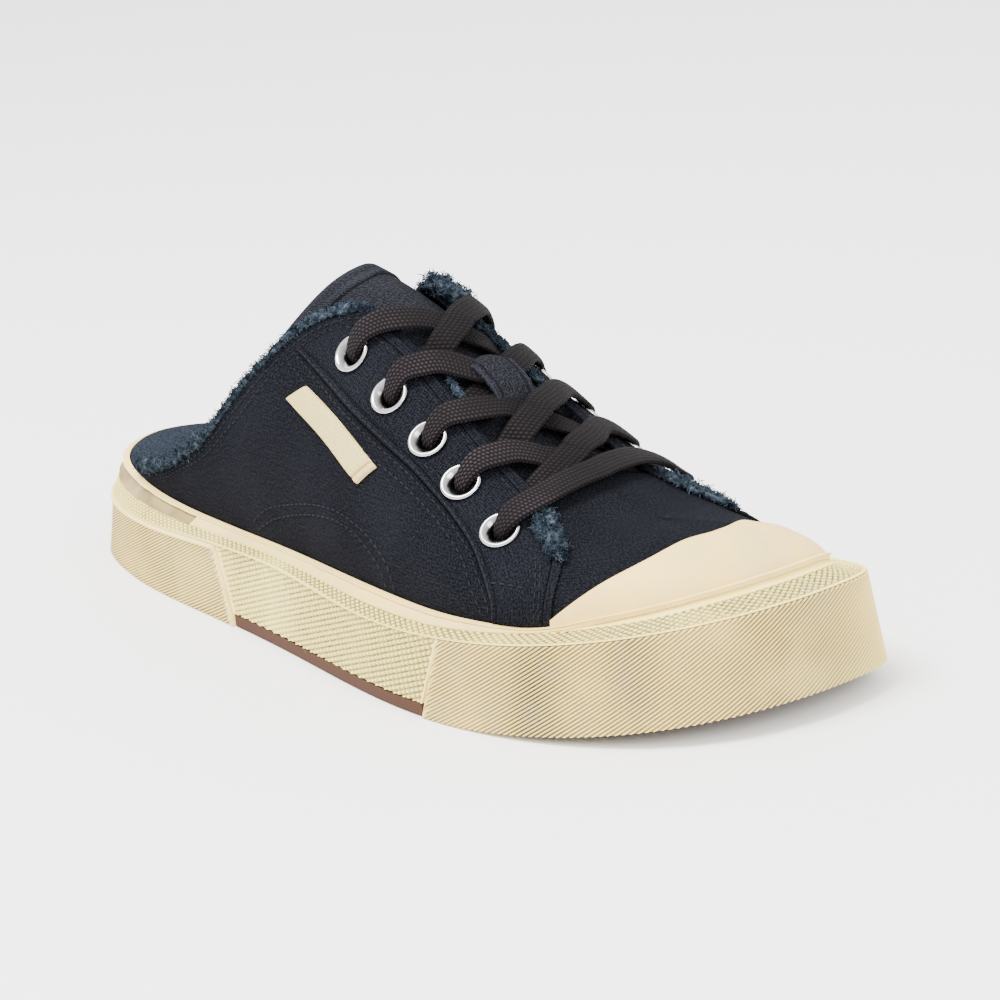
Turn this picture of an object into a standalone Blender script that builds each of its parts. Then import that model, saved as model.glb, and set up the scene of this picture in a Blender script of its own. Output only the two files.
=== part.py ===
"""Backless canvas lace-up mule sneaker, right shoe.

Metres, +Z up. The heel is at -X, the toe at +X, the lateral side at -Y. The shoe stands on
its sole at Z = 0, and the origin is the middle of its footprint.
"""

import math
from collections import Counter, namedtuple

import bmesh
import bpy
import numpy as np

# Driving dimensions of the sole
LENGTH = 0.286
WIDTH = 0.1033
RIM_HEIGHT = 0.0251
RIM_INSET = 0.0078
TOE_SPRING = 0.0066
OUTSOLE_THICKNESS = 0.0032
LUG_DEPTH = 0.0012
LUG_LENGTH = 0.0066
GROOVE_LENGTH = 0.0032
LUG_BORDER = 0.0070
FIRST_GROOVE = 0.045
WRAP_THICKNESS = 0.0030
WRAP_LIP = 0.0004
PANEL_SINK = 0.0008
CUP_DEPTH = 0.0075
TAPE_THICKNESS = 0.0010
INSOLE_THICKNESS = 0.0050

# Driving dimensions of the upper
INSTEP_HEIGHT = 0.0900
CANVAS = 0.0018
FACING_THICKNESS = 0.0008
CAP_THICKNESS = 0.0014
TONGUE_THICKNESS = 0.0024
KEEPER_THICKNESS = 0.0008
LABEL_THICKNESS = 0.0008
EYELET_RADIUS = 0.0050
EYELET_HOLE = 0.0025
EYELET_HEIGHT = 0.0010
LACE_WIDTH = 0.0078
LACE_THICKNESS = 0.0014
FRAY_RADIUS = 0.0017
TUFT_LIMIT = 1.28
COLLAR_FRAY = (0.190, 0.490)

# Clearances
GAP = 0.0003
SKIN_GAP = 0.0006
SEAT_GAP = 0.0007
OUTSOLE_GAP = 0.0014

# How finely the forms are divided
HALF_COLUMNS = 40
PROFILE_ROWS = 10
DEGREE = math.pi / 180

# Plan outline of the sole. at is a share of LENGTH, out a share of WIDTH from the centre line.
Edge = namedtuple("Edge", "at out")
HEEL_TIP = Edge(0.000, 0.009)
TOE_TIP = Edge(1.000, 0.089)
LATERAL_EDGE = [
    Edge(0.012, 0.120),
    Edge(0.045, 0.223),
    Edge(0.110, 0.306),
    Edge(0.199, 0.363),
    Edge(0.329, 0.397),
    Edge(0.479, 0.436),
    Edge(0.618, 0.485),
    Edge(0.718, 0.500),
    Edge(0.818, 0.463),
    Edge(0.897, 0.376),
    Edge(0.955, 0.247),
    Edge(0.986, 0.105),
]
MEDIAL_EDGE = [
    Edge(0.012, 0.145),
    Edge(0.045, 0.263),
    Edge(0.110, 0.337),
    Edge(0.199, 0.356),
    Edge(0.329, 0.348),
    Edge(0.479, 0.392),
    Edge(0.618, 0.475),
    Edge(0.718, 0.499),
    Edge(0.818, 0.481),
    Edge(0.897, 0.450),
    Edge(0.952, 0.412),
    Edge(0.984, 0.338),
    Edge(0.997, 0.220),
]

# Side of the sole. wrap and rim are shares of RIM_HEIGHT, lean and inset of RIM_INSET, and
# band is the share of the shoulder that the patterned band covers.
Side = namedtuple("Side", "at wrap rim lean inset band")
SIDE = [
    Side(0.00, 0.753, 1.110, 0.59, 1.038, 0.50),
    Side(0.08, 0.689, 1.040, 0.30, 1.013, 0.50),
    Side(0.20, 0.733, 0.980, 0.15, 1.000, 0.50),
    Side(0.35, 0.821, 0.952, 0.15, 1.000, 0.50),
    Side(0.45, 0.857, 0.968, 0.15, 1.000, 0.50),
    Side(0.65, 0.797, 1.000, 0.15, 1.000, 0.50),
    Side(0.76, 0.853, 1.000, 0.15, 1.000, 0.55),
    Side(0.85, 0.932, 1.020, 0.23, 1.180, 0.80),
    Side(0.92, 1.028, 1.135, 0.33, 1.438, 1.00),
    Side(1.00, 1.167, 1.310, 0.45, 1.731, 1.00),
]

# Where the heel and forefoot wraps end at the floor and at their top, as shares of LENGTH.
HEEL_WRAP_FOOT = 0.376
HEEL_WRAP_TOP = 0.347
TOE_WRAP_FOOT = 0.727
TOE_WRAP_TOP = 0.752

# Sections of the last. crest is a share of INSTEP_HEIGHT, centre of WIDTH. lateral and medial
# are the exponents of the section's two curves: 2 is an ellipse, and more is boxier.
Section = namedtuple("Section", "at crest centre lateral medial")
LAST = [
    Section(0.00, 1.05, -0.012, 2.00, 1.80),
    Section(0.20, 1.07, -0.012, 2.00, 1.80),
    Section(0.35, 1.10, -0.012, 1.90, 1.70),
    Section(0.45, 1.07, -0.012, 1.90, 1.70),
    Section(0.53, 0.99, -0.012, 1.90, 1.70),
    Section(0.58, 0.90, -0.012, 1.90, 1.65),
    Section(0.63, 0.80, -0.010, 1.95, 1.60),
    Section(0.68, 0.70, -0.005, 2.00, 1.60),
    Section(0.73, 0.61, 0.000, 2.00, 1.60),
    Section(0.78, 0.54, 0.010, 2.10, 1.70),
    Section(0.83, 0.49, 0.020, 2.20, 1.75),
    Section(0.88, 0.46, 0.030, 2.20, 1.75),
    Section(1.00, 0.44, 0.040, 2.20, 1.75),
]
POLE_AT = 0.845
POLE_EASE = 0.05

# Upper edge of the canvas, in degrees of turn from the rim up to the crest at 90.
Brim = namedtuple("Brim", "at lateral medial")
BRIM = [
    Brim(0.120, 1.0, 1.0),
    Brim(0.222, 8.5, 8.5),
    Brim(0.307, 21.0, 20.0),
    Brim(0.337, 28.0, 27.0),
    Brim(0.400, 42.0, 42.0),
    Brim(0.467, 58.5, 58.5),
    Brim(0.503, 66.5, 68.0),
    Brim(0.530, 70.5, 71.0),
    Brim(0.590, 71.5, 69.0),
    Brim(0.642, 71.0, 66.0),
    Brim(0.695, 69.5, 63.0),
    Brim(0.757, 66.0, 60.0),
]
HEEL_COLUMN = 0.165
THROAT_FRONT = 0.768

# The facing that carries the eyelets: place along the side and turn of its outer and inner
# lines. A place is 0 at the heel and 1 at the toe.
Facing = namedtuple("Facing", "outer_place outer_turn inner_place inner_turn")
FACING = [
    Facing(0.436, 45.4, 0.497, 62.5),
    Facing(0.480, 42.5, 0.522, 67.5),
    Facing(0.520, 40.5, 0.555, 69.5),
    Facing(0.568, 40.5, 0.590, 69.5),
    Facing(0.610, 41.0, 0.620, 69.0),
    Facing(0.650, 39.5, 0.655, 68.0),
    Facing(0.680, 36.0, 0.690, 66.5),
    Facing(0.698, 31.5, 0.712, 63.5),
    Facing(0.710, 26.0, 0.735, 56.0),
    Facing(0.720, 20.0, 0.757, 45.0),
    Facing(0.725, 14.0, 0.775, 33.0),
    Facing(0.725, 9.0, 0.785, 18.0),
    Facing(0.725, 4.0, 0.786, 4.0),
]

MEDIAL_FACING = 0.93

# Height of the toe cap's edge, in degrees of turn, by the distance from the toe's middle.
Cap = namedtuple("Cap", "at turn")
CAP = [Cap(0.000, 58.0), Cap(0.085, 55.0), Cap(0.130, 43.0), Cap(0.165, 30.0), Cap(0.211, 5.0)]
CAP_FOOT_TURN = 2.5

# Eyelets of the lateral side, and how far lower the medial ones sit on their side.
Eyelet = namedtuple("Eyelet", "place turn medial_turn")
EYELETS = [
    Eyelet(0.505, 54.0, 49.0),
    Eyelet(0.558, 53.1, 48.0),
    Eyelet(0.610, 52.7, 47.0),
    Eyelet(0.656, 50.2, 45.0),
    Eyelet(0.711, 44.5, 41.0),
]

# Corners of the label tab on the lateral quarter.
LABEL_CORNERS = [(0.432, 33.7), (0.457, 38.9), (0.569, 33.6), (0.549, 25.8)]

# Frayed threads at the front corner of each facing, as places and turns.
FRONT_FRAY = [(0.734, 63.5), (0.743, 60.5), (0.753, 56.0), (0.763, 50.5), (0.773, 44.5)]
FRONT_FRAY_SHRINK = 0.78

# The tongue: its front and top ends on the crest, how far its corners fall back at 45 degrees
# from the crest, and the turn of its side edges at the top and at the front.
TONGUE_FRONT = 0.735
TONGUE_TOP = 0.445
TONGUE_TOP_DROP = 0.052
TONGUE_TOP_TURN = 36.0
TONGUE_FRONT_TURN = 54.0
KEEPER_PLACES = (0.600, 0.560)
KEEPER_SWINGS = (82.0, 98.0)


def curve_through(rows, column):
    """Smooth curve of one column of a table over its shares of the length."""
    at = np.array([row.at for row in rows])
    value = np.array([getattr(row, column) for row in rows])
    slope = np.gradient(value, at)

    def read(share):
        share = np.clip(share, at[0], at[-1])
        low = np.clip(np.searchsorted(at, share, side="right") - 1, 0, len(at) - 2)
        span = at[low + 1] - at[low]
        t = (share - at[low]) / span
        rise = value[low] * (2 * t**3 - 3 * t**2 + 1) + value[low + 1] * (3 * t**2 - 2 * t**3)
        return rise + span * (slope[low] * (t**3 - 2 * t**2 + t) + slope[low + 1] * (t**3 - t**2))

    return read


def closed_spline(points, per_span):
    """Points of the smooth closed curve through the given ones, per_span between each two."""
    count = len(points)
    chord = np.linalg.norm(np.roll(points, -1, 0) - points, axis=1)
    matrix = np.zeros((count, count))
    right = np.zeros_like(points)
    for i in range(count):
        before, after = chord[i - 1], chord[i]
        matrix[i, i - 1] = after
        matrix[i, i] = 2 * (before + after)
        matrix[i, (i + 1) % count] = before
        step_before = (points[i] - points[i - 1]) / before
        step_after = (points[(i + 1) % count] - points[i]) / after
        right[i] = 3 * (after * step_before + before * step_after)
    slope = np.linalg.solve(matrix, right)
    out = []
    for i in range(count):
        j = (i + 1) % count
        for t in np.arange(per_span) / per_span:
            hold = points[i] * (2 * t**3 - 3 * t**2 + 1) + points[j] * (3 * t**2 - 2 * t**3)
            turn = slope[i] * (t**3 - 2 * t**2 + t) + slope[j] * (t**3 - t**2)
            out.append(hold + chord[i] * turn)
    return np.array(out)


class Footprint:
    """The plan outline, read by a place of 0 at the heel, 1 at the toe and 2 at the heel."""

    PER_SPAN = 40

    def __init__(self):
        lateral = [HEEL_TIP] + [Edge(row.at, -row.out) for row in LATERAL_EDGE]
        rows = lateral + [TOE_TIP] + MEDIAL_EDGE[::-1]
        points = np.array(rows) * (LENGTH, WIDTH) - (LENGTH / 2, 0.0)
        dense = closed_spline(points, self.PER_SPAN)
        self.toe = len(lateral) * self.PER_SPAN
        self.loop = np.vstack([dense, dense[:1]])
        run = np.r_[0, np.cumsum(np.linalg.norm(np.diff(self.loop, axis=0), axis=1))]
        half = run[self.toe]
        self.half_length = half
        self.place = np.r_[run[: self.toe] / half, 1 + (run[self.toe :] - half) / (run[-1] - half)]
        tangent = np.roll(dense, -1, 0) - np.roll(dense, 1, 0)
        tangent /= np.linalg.norm(tangent, axis=1)[:, None]
        inward = np.c_[-tangent[:, 1], tangent[:, 0]]
        self.inward = np.vstack([inward, inward[:1]])

    def read(self, values, place):
        place = np.mod(place, 2.0)
        return np.stack([np.interp(place, self.place, values[:, k]) for k in (0, 1)], axis=-1)

    def plan(self, place, inset):
        inward = self.read(self.inward, place)
        inward /= np.linalg.norm(inward, axis=-1)[..., None]
        return self.read(self.loop, place) + inward * np.asarray(inset)[..., None]

    def share(self, place):
        return self.read(self.loop, place)[..., 0] / LENGTH + 0.5

    def lateral_place(self, share):
        return float(np.interp((share - 0.5) * LENGTH, self.loop[: self.toe, 0], self.place[: self.toe]))

    def medial_place(self, share):
        back = slice(None, self.toe, -1)
        return float(np.interp((share - 0.5) * LENGTH, self.loop[back, 0], self.place[back]))

    def ring(self, place, inset, height):
        plan = self.plan(place, inset)
        return np.concatenate([plan, np.broadcast_to(height, plan.shape[:-1])[..., None]], axis=-1)


foot = Footprint()
side_curves = {name: curve_through(SIDE, name) for name in Side._fields[1:]}
last_curves = {name: curve_through(LAST, name) for name in Section._fields[1:]}
brim_curves = {name: curve_through(BRIM, name) for name in Brim._fields[1:]}
cap_curve = curve_through(CAP, "turn")


def spring(place):
    """Height of the sole's underside: flat to the ball, then rising to the toe."""
    return TOE_SPRING * np.clip((foot.share(place) - 0.72) / 0.28, 0, 1) ** 2


def wrap_height(place):
    return RIM_HEIGHT * side_curves["wrap"](foot.share(place))


def rim_height(place):
    return RIM_HEIGHT * side_curves["rim"](foot.share(place))


def lean(place):
    return RIM_INSET * side_curves["lean"](foot.share(place))


def rim_inset(place):
    return RIM_INSET * side_curves["inset"](foot.share(place))


def band_inset(place):
    return lean(place) + side_curves["band"](foot.share(place)) * (rim_inset(place) - lean(place))


def band_height(place):
    share = side_curves["band"](foot.share(place))
    return wrap_height(place) + share * (rim_height(place) - wrap_height(place))


def canvas_inset(place):
    """Inset of the canvas, which stands behind the foxing tape."""
    return rim_inset(place) + TAPE_THICKNESS + GAP


def floor_height(place):
    return rim_height(place) - CUP_DEPTH


def column_share(place):
    """Share of the length abreast of a place, the same for both sides."""
    return 0.5 * (foot.share(place) + foot.share(2 - place))


def crest_point(place):
    """Where a column of the upper ends: abreast of it, or near the pole at the toe."""
    ahead = POLE_AT - column_share(place)
    share = POLE_AT - 0.5 * (ahead + np.sqrt(ahead**2 + POLE_EASE**2))
    height = INSTEP_HEIGHT * last_curves["crest"](share)
    point = np.stack([(share - 0.5) * LENGTH, WIDTH * last_curves["centre"](share), height], -1)
    return share, point


def last_point(place, turn):
    """Outer face of the upper. turn is 0 at the rim and 90 on the crest."""
    place, turn = np.broadcast_arrays(np.asarray(place, float), np.asarray(turn, float) * DEGREE)
    start = foot.ring(place, canvas_inset(place), rim_height(place))
    share, top = crest_point(place)
    lateral, medial = last_curves["lateral"](share), last_curves["medial"](share)
    power = 2.0 / np.where(np.mod(place, 2.0) < 1.0, lateral, medial)
    across = 1 - np.cos(turn).clip(0) ** power
    up = np.sin(turn) ** power
    return start + (top - start) * np.stack([across, across, up], -1)


def last_normal(place, turn):
    """Outward direction of the upper at a place and turn."""
    place, turn = np.broadcast_arrays(np.asarray(place, float), np.asarray(turn, float))

    def facing(place, turn):
        step = 0.004
        along = last_point(place + step, turn) - last_point(place - step, turn)
        up = last_point(place, np.minimum(turn + 1, 89)) - last_point(place, np.clip(turn - 1, 0, 87))
        normal = np.cross(along, up)
        return normal / np.linalg.norm(normal, axis=-1)[..., None]

    own = facing(place, turn)
    other = facing(2 - place, turn)
    blend = np.clip((turn - 80) / 10, 0, 1)[..., None] / 2
    normal = own * (1 - blend) + other * blend
    return normal / np.linalg.norm(normal, axis=-1)[..., None]


def skin_point(place, turn, offset):
    """A point at an offset outward from the upper's outer face."""
    return last_point(place, turn) + last_normal(place, turn) * np.asarray(offset)[..., None]


def over_point(place, swing, offset):
    """As skin_point, with swing from 0 at the lateral rim over 90 to 180 at the medial rim."""
    place, swing, offset = np.broadcast_arrays(place, swing, offset)
    lateral = swing <= 90
    return skin_point(np.where(lateral, place, 2 - place), np.where(lateral, swing, 180 - swing), offset)


def brim_turn(place):
    """Turn at which the canvas ends: the collar, then the throat's edge, then the crest."""
    share = column_share(place)
    lateral, medial = brim_curves["lateral"](share), brim_curves["medial"](share)
    turn = np.where(np.mod(place, 2.0) < 1.0, lateral, medial)
    return np.where(share > THROAT_FRONT, 90.0, turn)


def make_material(name, colour, roughness, metallic=0.0):
    material = bpy.data.materials.new(name)
    material.use_nodes = True
    shader = material.node_tree.nodes["Principled BSDF"]
    shader.inputs["Base Color"].default_value = (*colour, 1.0)
    shader.inputs["Roughness"].default_value = roughness
    shader.inputs["Metallic"].default_value = metallic
    material.diffuse_color = (*colour, 1.0)
    return material


def add_solid(name, vertices, faces, material, smooth=40):
    """A closed body from points and faces, its faces turned outward."""
    shape = bmesh.new()
    points = [shape.verts.new(vertex) for vertex in vertices]
    for face in faces:
        shape.faces.new([points[i] for i in face])
    bmesh.ops.recalc_face_normals(shape, faces=shape.faces)
    mesh = bpy.data.meshes.new(name)
    shape.to_mesh(mesh)
    shape.free()
    mesh.shade_smooth()
    mesh.set_sharp_from_angle(angle=smooth * DEGREE)
    body = bpy.data.objects.new(name, mesh)
    body.data.materials.append(material)
    bpy.context.scene.collection.objects.link(body)
    return body


def ladder(first, count):
    """Faces that close a ring of an even count of points, rung by rung from heel to toe."""
    half = count // 2
    faces = [(first, first + 1, first + count - 1)]
    for j in range(1, half - 1):
        faces.append((first + j, first + j + 1, first + count - j - 1, first + count - j))
    faces.append((first + half - 1, first + half, first + half + 1))
    return faces


def add_cup(name, rings, material):
    """A body of rings round the sole, closed across the first and the last."""
    count = len(rings[0])
    faces = []
    for i in range(len(rings) - 1):
        for j in range(count):
            k = (j + 1) % count
            faces.append((i * count + j, i * count + k, (i + 1) * count + k, (i + 1) * count + j))
    faces += ladder(0, count) + ladder((len(rings) - 1) * count, count)
    return add_solid(name, np.vstack(rings), faces, material)


def add_sweep(name, sections, material, closed=False, smooth=40):
    """A body through sections that each have the same number of points."""
    sections = np.asarray(sections)
    count, size = sections.shape[:2]
    faces = []
    for i in range(count if closed else count - 1):
        n = (i + 1) % count
        for j in range(size):
            k = (j + 1) % size
            faces.append((i * size + j, i * size + k, n * size + k, n * size + j))
    if not closed:
        faces += [tuple(range(size)), tuple((count - 1) * size + j for j in range(size))]
    return add_solid(name, sections.reshape(-1, 3), faces, material, smooth)


def add_sheet(name, outer, inner, material):
    """A walled body between two grids of points. Points of the outer grid that meet are joined."""
    rows, columns = outer.shape[:2]
    index = {}
    number = np.zeros((rows, columns), int)
    outside, inside = [], []
    for i in range(rows):
        for j in range(columns):
            key = tuple(np.round(outer[i, j] / GAP * 20).astype(int))
            if key not in index:
                index[key] = len(outside)
                outside.append(outer[i, j])
                inside.append(inner[i, j])
            number[i, j] = index[key]
    panels = []
    for i in range(rows - 1):
        for j in range(columns - 1):
            corners = [number[i, j], number[i, j + 1], number[i + 1, j + 1], number[i + 1, j]]
            ring = [c for n, c in enumerate(corners) if c != corners[n - 1]]
            if len(set(ring)) >= 3:
                panels.append(tuple(ring))
    uses = Counter()
    for ring in panels:
        uses.update(frozenset((ring[n - 1], ring[n])) for n in range(len(ring)))
    size = len(outside)
    faces = panels + [tuple(c + size for c in ring[::-1]) for ring in panels]
    for ring in panels:
        for n in range(len(ring)):
            a, b = ring[n - 1], ring[n]
            if uses[frozenset((a, b))] == 1:
                faces.append((b, a, a + size, b + size))
    return add_solid(name, outside + inside, faces, material)


ring_places = np.arange(2 * HALF_COLUMNS) / HALF_COLUMNS


def places_between(start, end):
    """Ring places strictly inside a stretch that may begin before the heel."""
    inside = np.concatenate([ring_places - 2, ring_places])
    margin = 0.2 / HALF_COLUMNS
    return inside[(inside > start + margin) & (inside < end - margin)]


def make_outsole(material):
    """The gum outsole: a slab inside the wraps, flush with the panels, with chevron lugs."""
    pitch = (LUG_LENGTH + GROOVE_LENGTH) / foot.half_length
    groove = GROOVE_LENGTH / foot.half_length
    step = GAP / foot.half_length
    notches = []
    for share, way in ((HEEL_WRAP_FOOT, 1), (TOE_WRAP_FOOT, -1)):
        for place in (foot.lateral_place(share), 2 - foot.medial_place(share)):
            notches += [place + way * step, place + 2 * way * step]
    starts = np.arange(FIRST_GROOVE, 1 - FIRST_GROOVE - groove, pitch)
    starts = [s for s in starts if not any(s - 3 * step < n < s + groove + 3 * step for n in notches)]
    stations = [(s, True) for s in starts] + [(s + groove, False) for s in starts]
    stations += [(n, False) for n in notches] + [(FIRST_GROOVE / 2, False), (1 - FIRST_GROOVE / 2, False)]
    stations = [(0.0, False)] + sorted(stations) + [(1.0, False)]
    halves = np.array([place for place, _ in stations])
    places = np.concatenate([halves, (2 - halves[1:-1])[::-1]])
    share = foot.share(places)
    clear = 1.5 * GAP / LENGTH
    middle = (share > HEEL_WRAP_FOOT + clear) & (share < TOE_WRAP_FOOT - clear)
    hidden = WRAP_THICKNESS + OUTSOLE_GAP
    inset = np.where(middle, PANEL_SINK, hidden)
    climb = np.where(middle, 0, lean(places) * OUTSOLE_THICKNESS / wrap_height(places))
    count = len(places)
    rise = spring(places)
    low = foot.ring(places, inset, rise)
    high = foot.ring(places, inset + climb, rise + OUTSOLE_THICKNESS)
    field = foot.ring(places, hidden + LUG_BORDER, rise)
    half = count // 2
    tread = [field[0]]
    for j in range(1, half):
        centre = 0.5 * (field[j] + field[count - j])
        centre[0] = min(centre[0] + GROOVE_LENGTH * 1.5, field[half][0] - GROOVE_LENGTH)
        tread.append(centre)
    vertices = np.vstack([high, low, field, tread])
    spine = 3 * count
    faces = ladder(0, count)
    for start in (0, count):
        for j in range(count):
            k = (j + 1) % count
            faces.append((start + j, start + k, start + count + k, start + count + j))
    grooves = []
    base = 2 * count
    faces.append((base, base + 1, spine + 1))
    faces.append((base, spine + 1, base + count - 1))
    for j in range(1, half - 1):
        if stations[j][1]:
            grooves.append(len(faces))
        faces.append((base + j, base + j + 1, spine + j + 1, spine + j))
        faces.append((spine + j, spine + j + 1, base + count - j - 1, base + count - j))
    faces.append((base + half - 1, base + half, spine + half - 1))
    faces.append((spine + half - 1, base + half, base + half + 1))
    vertices = np.delete(vertices, spine, axis=0)
    faces = [tuple(i - 1 if i > spine else i for i in face) for face in faces]
    body = add_solid("outsole", vertices, faces, material)
    shape = bmesh.new()
    shape.from_mesh(body.data)
    shape.faces.ensure_lookup_table()
    pairs = [[shape.faces[i], shape.faces[i + 1]] for i in grooves]
    for pair in pairs:
        bmesh.ops.inset_region(shape, faces=pair, thickness=LUG_DEPTH / 3, depth=-LUG_DEPTH)
    shape.to_mesh(body.data)
    shape.free()


def make_cupsole(material):
    """The rubber cup: a wall recessed for the wraps, the sloping shoulder and the foot bed."""
    p = ring_places
    base = OUTSOLE_THICKNESS + 2 * GAP
    back = WRAP_THICKNESS + 2 * GAP
    wrap = wrap_height(p) + GAP
    rings = [
        foot.ring(p, back + lean(p) * base / wrap_height(p), spring(p) + base),
        foot.ring(p, back + lean(p), wrap),
        foot.ring(p, lean(p) + GAP, wrap),
        foot.ring(p, band_inset(p), np.maximum(band_height(p), wrap + GAP)),
        foot.ring(p, canvas_inset(p) - GAP, np.maximum(band_height(p), wrap + GAP)),
        foot.ring(p, canvas_inset(p) - GAP, floor_height(p)),
    ]
    add_cup("cupsole", rings, material)


def strip_sections(profile, start, end):
    """Sections of a strip round the sole. start and end hold the place at the floor and the top."""
    stations = [start]
    for place in places_between(max(start), min(end)):
        stations.append((place, place))
    stations.append(end)
    return [profile(*station) for station in stations]


def make_wrap(name, start, end, lip, material):
    def profile(low, top):
        low, top = np.array(low), np.array(top)
        brow = 0.86
        mid = low + (top - low) * brow
        height = wrap_height(top)
        return np.array(
            [
                foot.ring(low, 0.0, spring(low)),
                foot.ring(mid, lean(mid) * brow, height * brow),
                foot.ring(top, lean(top) - lip, height * brow + lip),
                foot.ring(top, lean(top) - lip, height),
                foot.ring(top, lean(top) + WRAP_THICKNESS, height),
                foot.ring(low, WRAP_THICKNESS, spring(low)),
            ]
        )

    add_sweep(name, strip_sections(profile, start, end), material)


def make_panel(name, start, end, material):
    def profile(low, top):
        low, top = np.array(low), np.array(top)
        base = OUTSOLE_THICKNESS + GAP
        height = wrap_height(top)
        return np.array(
            [
                foot.ring(low, PANEL_SINK, base),
                foot.ring(top, lean(top) + PANEL_SINK, height),
                foot.ring(top, lean(top) + WRAP_THICKNESS, height),
                foot.ring(low, WRAP_THICKNESS, base),
            ]
        )

    add_sweep(name, strip_sections(profile, start, end), material)


def make_wraps_and_panels(material):
    """Heel and forefoot wraps with slanted ends, and the sunk panels between them."""
    heel = (foot.lateral_place(HEEL_WRAP_FOOT), foot.lateral_place(HEEL_WRAP_TOP))
    toe = (foot.lateral_place(TOE_WRAP_FOOT), foot.lateral_place(TOE_WRAP_TOP))
    heel_back = (foot.medial_place(HEEL_WRAP_FOOT), foot.medial_place(HEEL_WRAP_TOP))
    toe_back = (foot.medial_place(TOE_WRAP_FOOT), foot.medial_place(TOE_WRAP_TOP))
    step = GAP / LENGTH
    make_wrap("heel_wrap", tuple(p - 2 for p in heel_back), heel, WRAP_LIP, material)
    make_wrap("forefoot_wrap", toe, toe_back, 0.0, material)
    start, end = [tuple(p + step for p in heel), tuple(p - step for p in toe)]
    make_panel("panel_lateral", start, end, material)
    start, end = [tuple(p + step for p in toe_back), tuple(p - step for p in heel_back)]
    make_panel("panel_medial", start, end, material)


def make_tape(material):
    """The smooth foxing tape from one corner of the toe cap round the heel to the other."""
    end = 0.785

    def profile(low, top):
        p = np.array(top)
        foot_height = np.maximum(band_height(p), wrap_height(p) + 2 * GAP) + GAP
        top_height = np.maximum(rim_height(p), foot_height + GAP)
        return np.array(
            [
                foot.ring(p, band_inset(p) + GAP, foot_height),
                foot.ring(p, rim_inset(p), top_height),
                foot.ring(p, rim_inset(p) + TAPE_THICKNESS, top_height),
                foot.ring(p, rim_inset(p) + TAPE_THICKNESS, foot_height),
            ]
        )

    add_sweep("foxing_tape", strip_sections(profile, (-end, -end), (end, end)), material)


def make_insole(material):
    p = ring_places
    behind = np.clip((foot.share(p) - 0.08) / 0.03, 0, 1)
    inset = canvas_inset(p) + behind * (CANVAS + SKIN_GAP)
    low = floor_height(p) + GAP
    top = low + INSOLE_THICKNESS
    rings = [
        foot.ring(p, inset, low),
        foot.ring(p, inset, top - INSOLE_THICKNESS / 5),
        foot.ring(p, inset + INSOLE_THICKNESS / 5, top),
    ]
    add_cup("insole", rings, material)


def make_upper(material):
    """The canvas upper: one wall, open at the heel, collar and throat and under the rim."""
    p = ring_places[(ring_places > HEEL_COLUMN) & (ring_places < 2 - HEEL_COLUMN)]
    foot_height = floor_height(p) + GAP
    outer = [foot.ring(p, canvas_inset(p), foot_height)]
    inner = [foot.ring(p, canvas_inset(p) + CANVAS, foot_height)]
    for share in np.linspace(0, 1, PROFILE_ROWS + 1):
        turn = brim_turn(p) * share
        outer.append(skin_point(p, turn, 0.0))
        inner.append(skin_point(p, turn, -CANVAS))
    add_sheet("upper", np.array(outer), np.array(inner), material)


def make_toe_cap(material):
    reach = CAP[-1].at
    p = np.concatenate([[1 - reach], places_between(1 - reach, 1 + reach), [1 + reach]])
    edge = cap_curve(np.abs(p - 1))
    outer, inner = [], []
    for share in np.linspace(0, 1, 7):
        turn = CAP_FOOT_TURN + (edge - CAP_FOOT_TURN) * share
        outer.append(skin_point(p, turn, SKIN_GAP + CAP_THICKNESS))
        inner.append(skin_point(p, turn, SKIN_GAP))
    add_sheet("toe_cap", np.array(outer), np.array(inner), material)


def make_facing(name, lateral, material):
    """The eyelet facing with the quarter's front edge, laid over the canvas."""
    outer, inner = [], []
    for share in np.linspace(0, 1, 5):
        place = np.array([row.outer_place * (1 - share) + row.inner_place * share for row in FACING])
        turn = np.array([row.outer_turn * (1 - share) + row.inner_turn * share for row in FACING])
        if not lateral:
            turn = turn * MEDIAL_FACING
            place = 2 - place
        outer.append(skin_point(place, turn, SKIN_GAP + FACING_THICKNESS))
        inner.append(skin_point(place, turn, SKIN_GAP))
    add_sheet(name, np.array(outer), np.array(inner), material)


def make_label(material):
    corners = np.array(LABEL_CORNERS)
    outer, inner = [], []
    for down in np.linspace(0, 1, 3):
        line = []
        for along in np.linspace(0, 1, 6):
            upper_edge = corners[1] * (1 - along) + corners[2] * along
            lower_edge = corners[0] * (1 - along) + corners[3] * along
            line.append(upper_edge * (1 - down) + lower_edge * down)
        line = np.array(line)
        outer.append(skin_point(line[:, 0], line[:, 1], SKIN_GAP + LABEL_THICKNESS))
        inner.append(skin_point(line[:, 0], line[:, 1], SKIN_GAP))
    add_sheet("label_tab", np.array(outer), np.array(inner), material)


def make_tongue(material):
    outer, inner = [], []
    for along in np.linspace(0, 1, 12):
        depth = CANVAS + SKIN_GAP + GAP * (1 + 2 * (1 - along))
        edge = TONGUE_FRONT_TURN + (TONGUE_TOP_TURN - TONGUE_FRONT_TURN) * along
        swing = np.linspace(edge, 180 - edge, 13)
        top = TONGUE_TOP - TONGUE_TOP_DROP * ((swing - 90) / 45) ** 2
        place = TONGUE_FRONT + (top - TONGUE_FRONT) * along
        outer.append(over_point(place, swing, -depth))
        inner.append(over_point(place, swing, -depth - TONGUE_THICKNESS))
    add_sheet("tongue", np.array(outer), np.array(inner), material)


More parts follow.
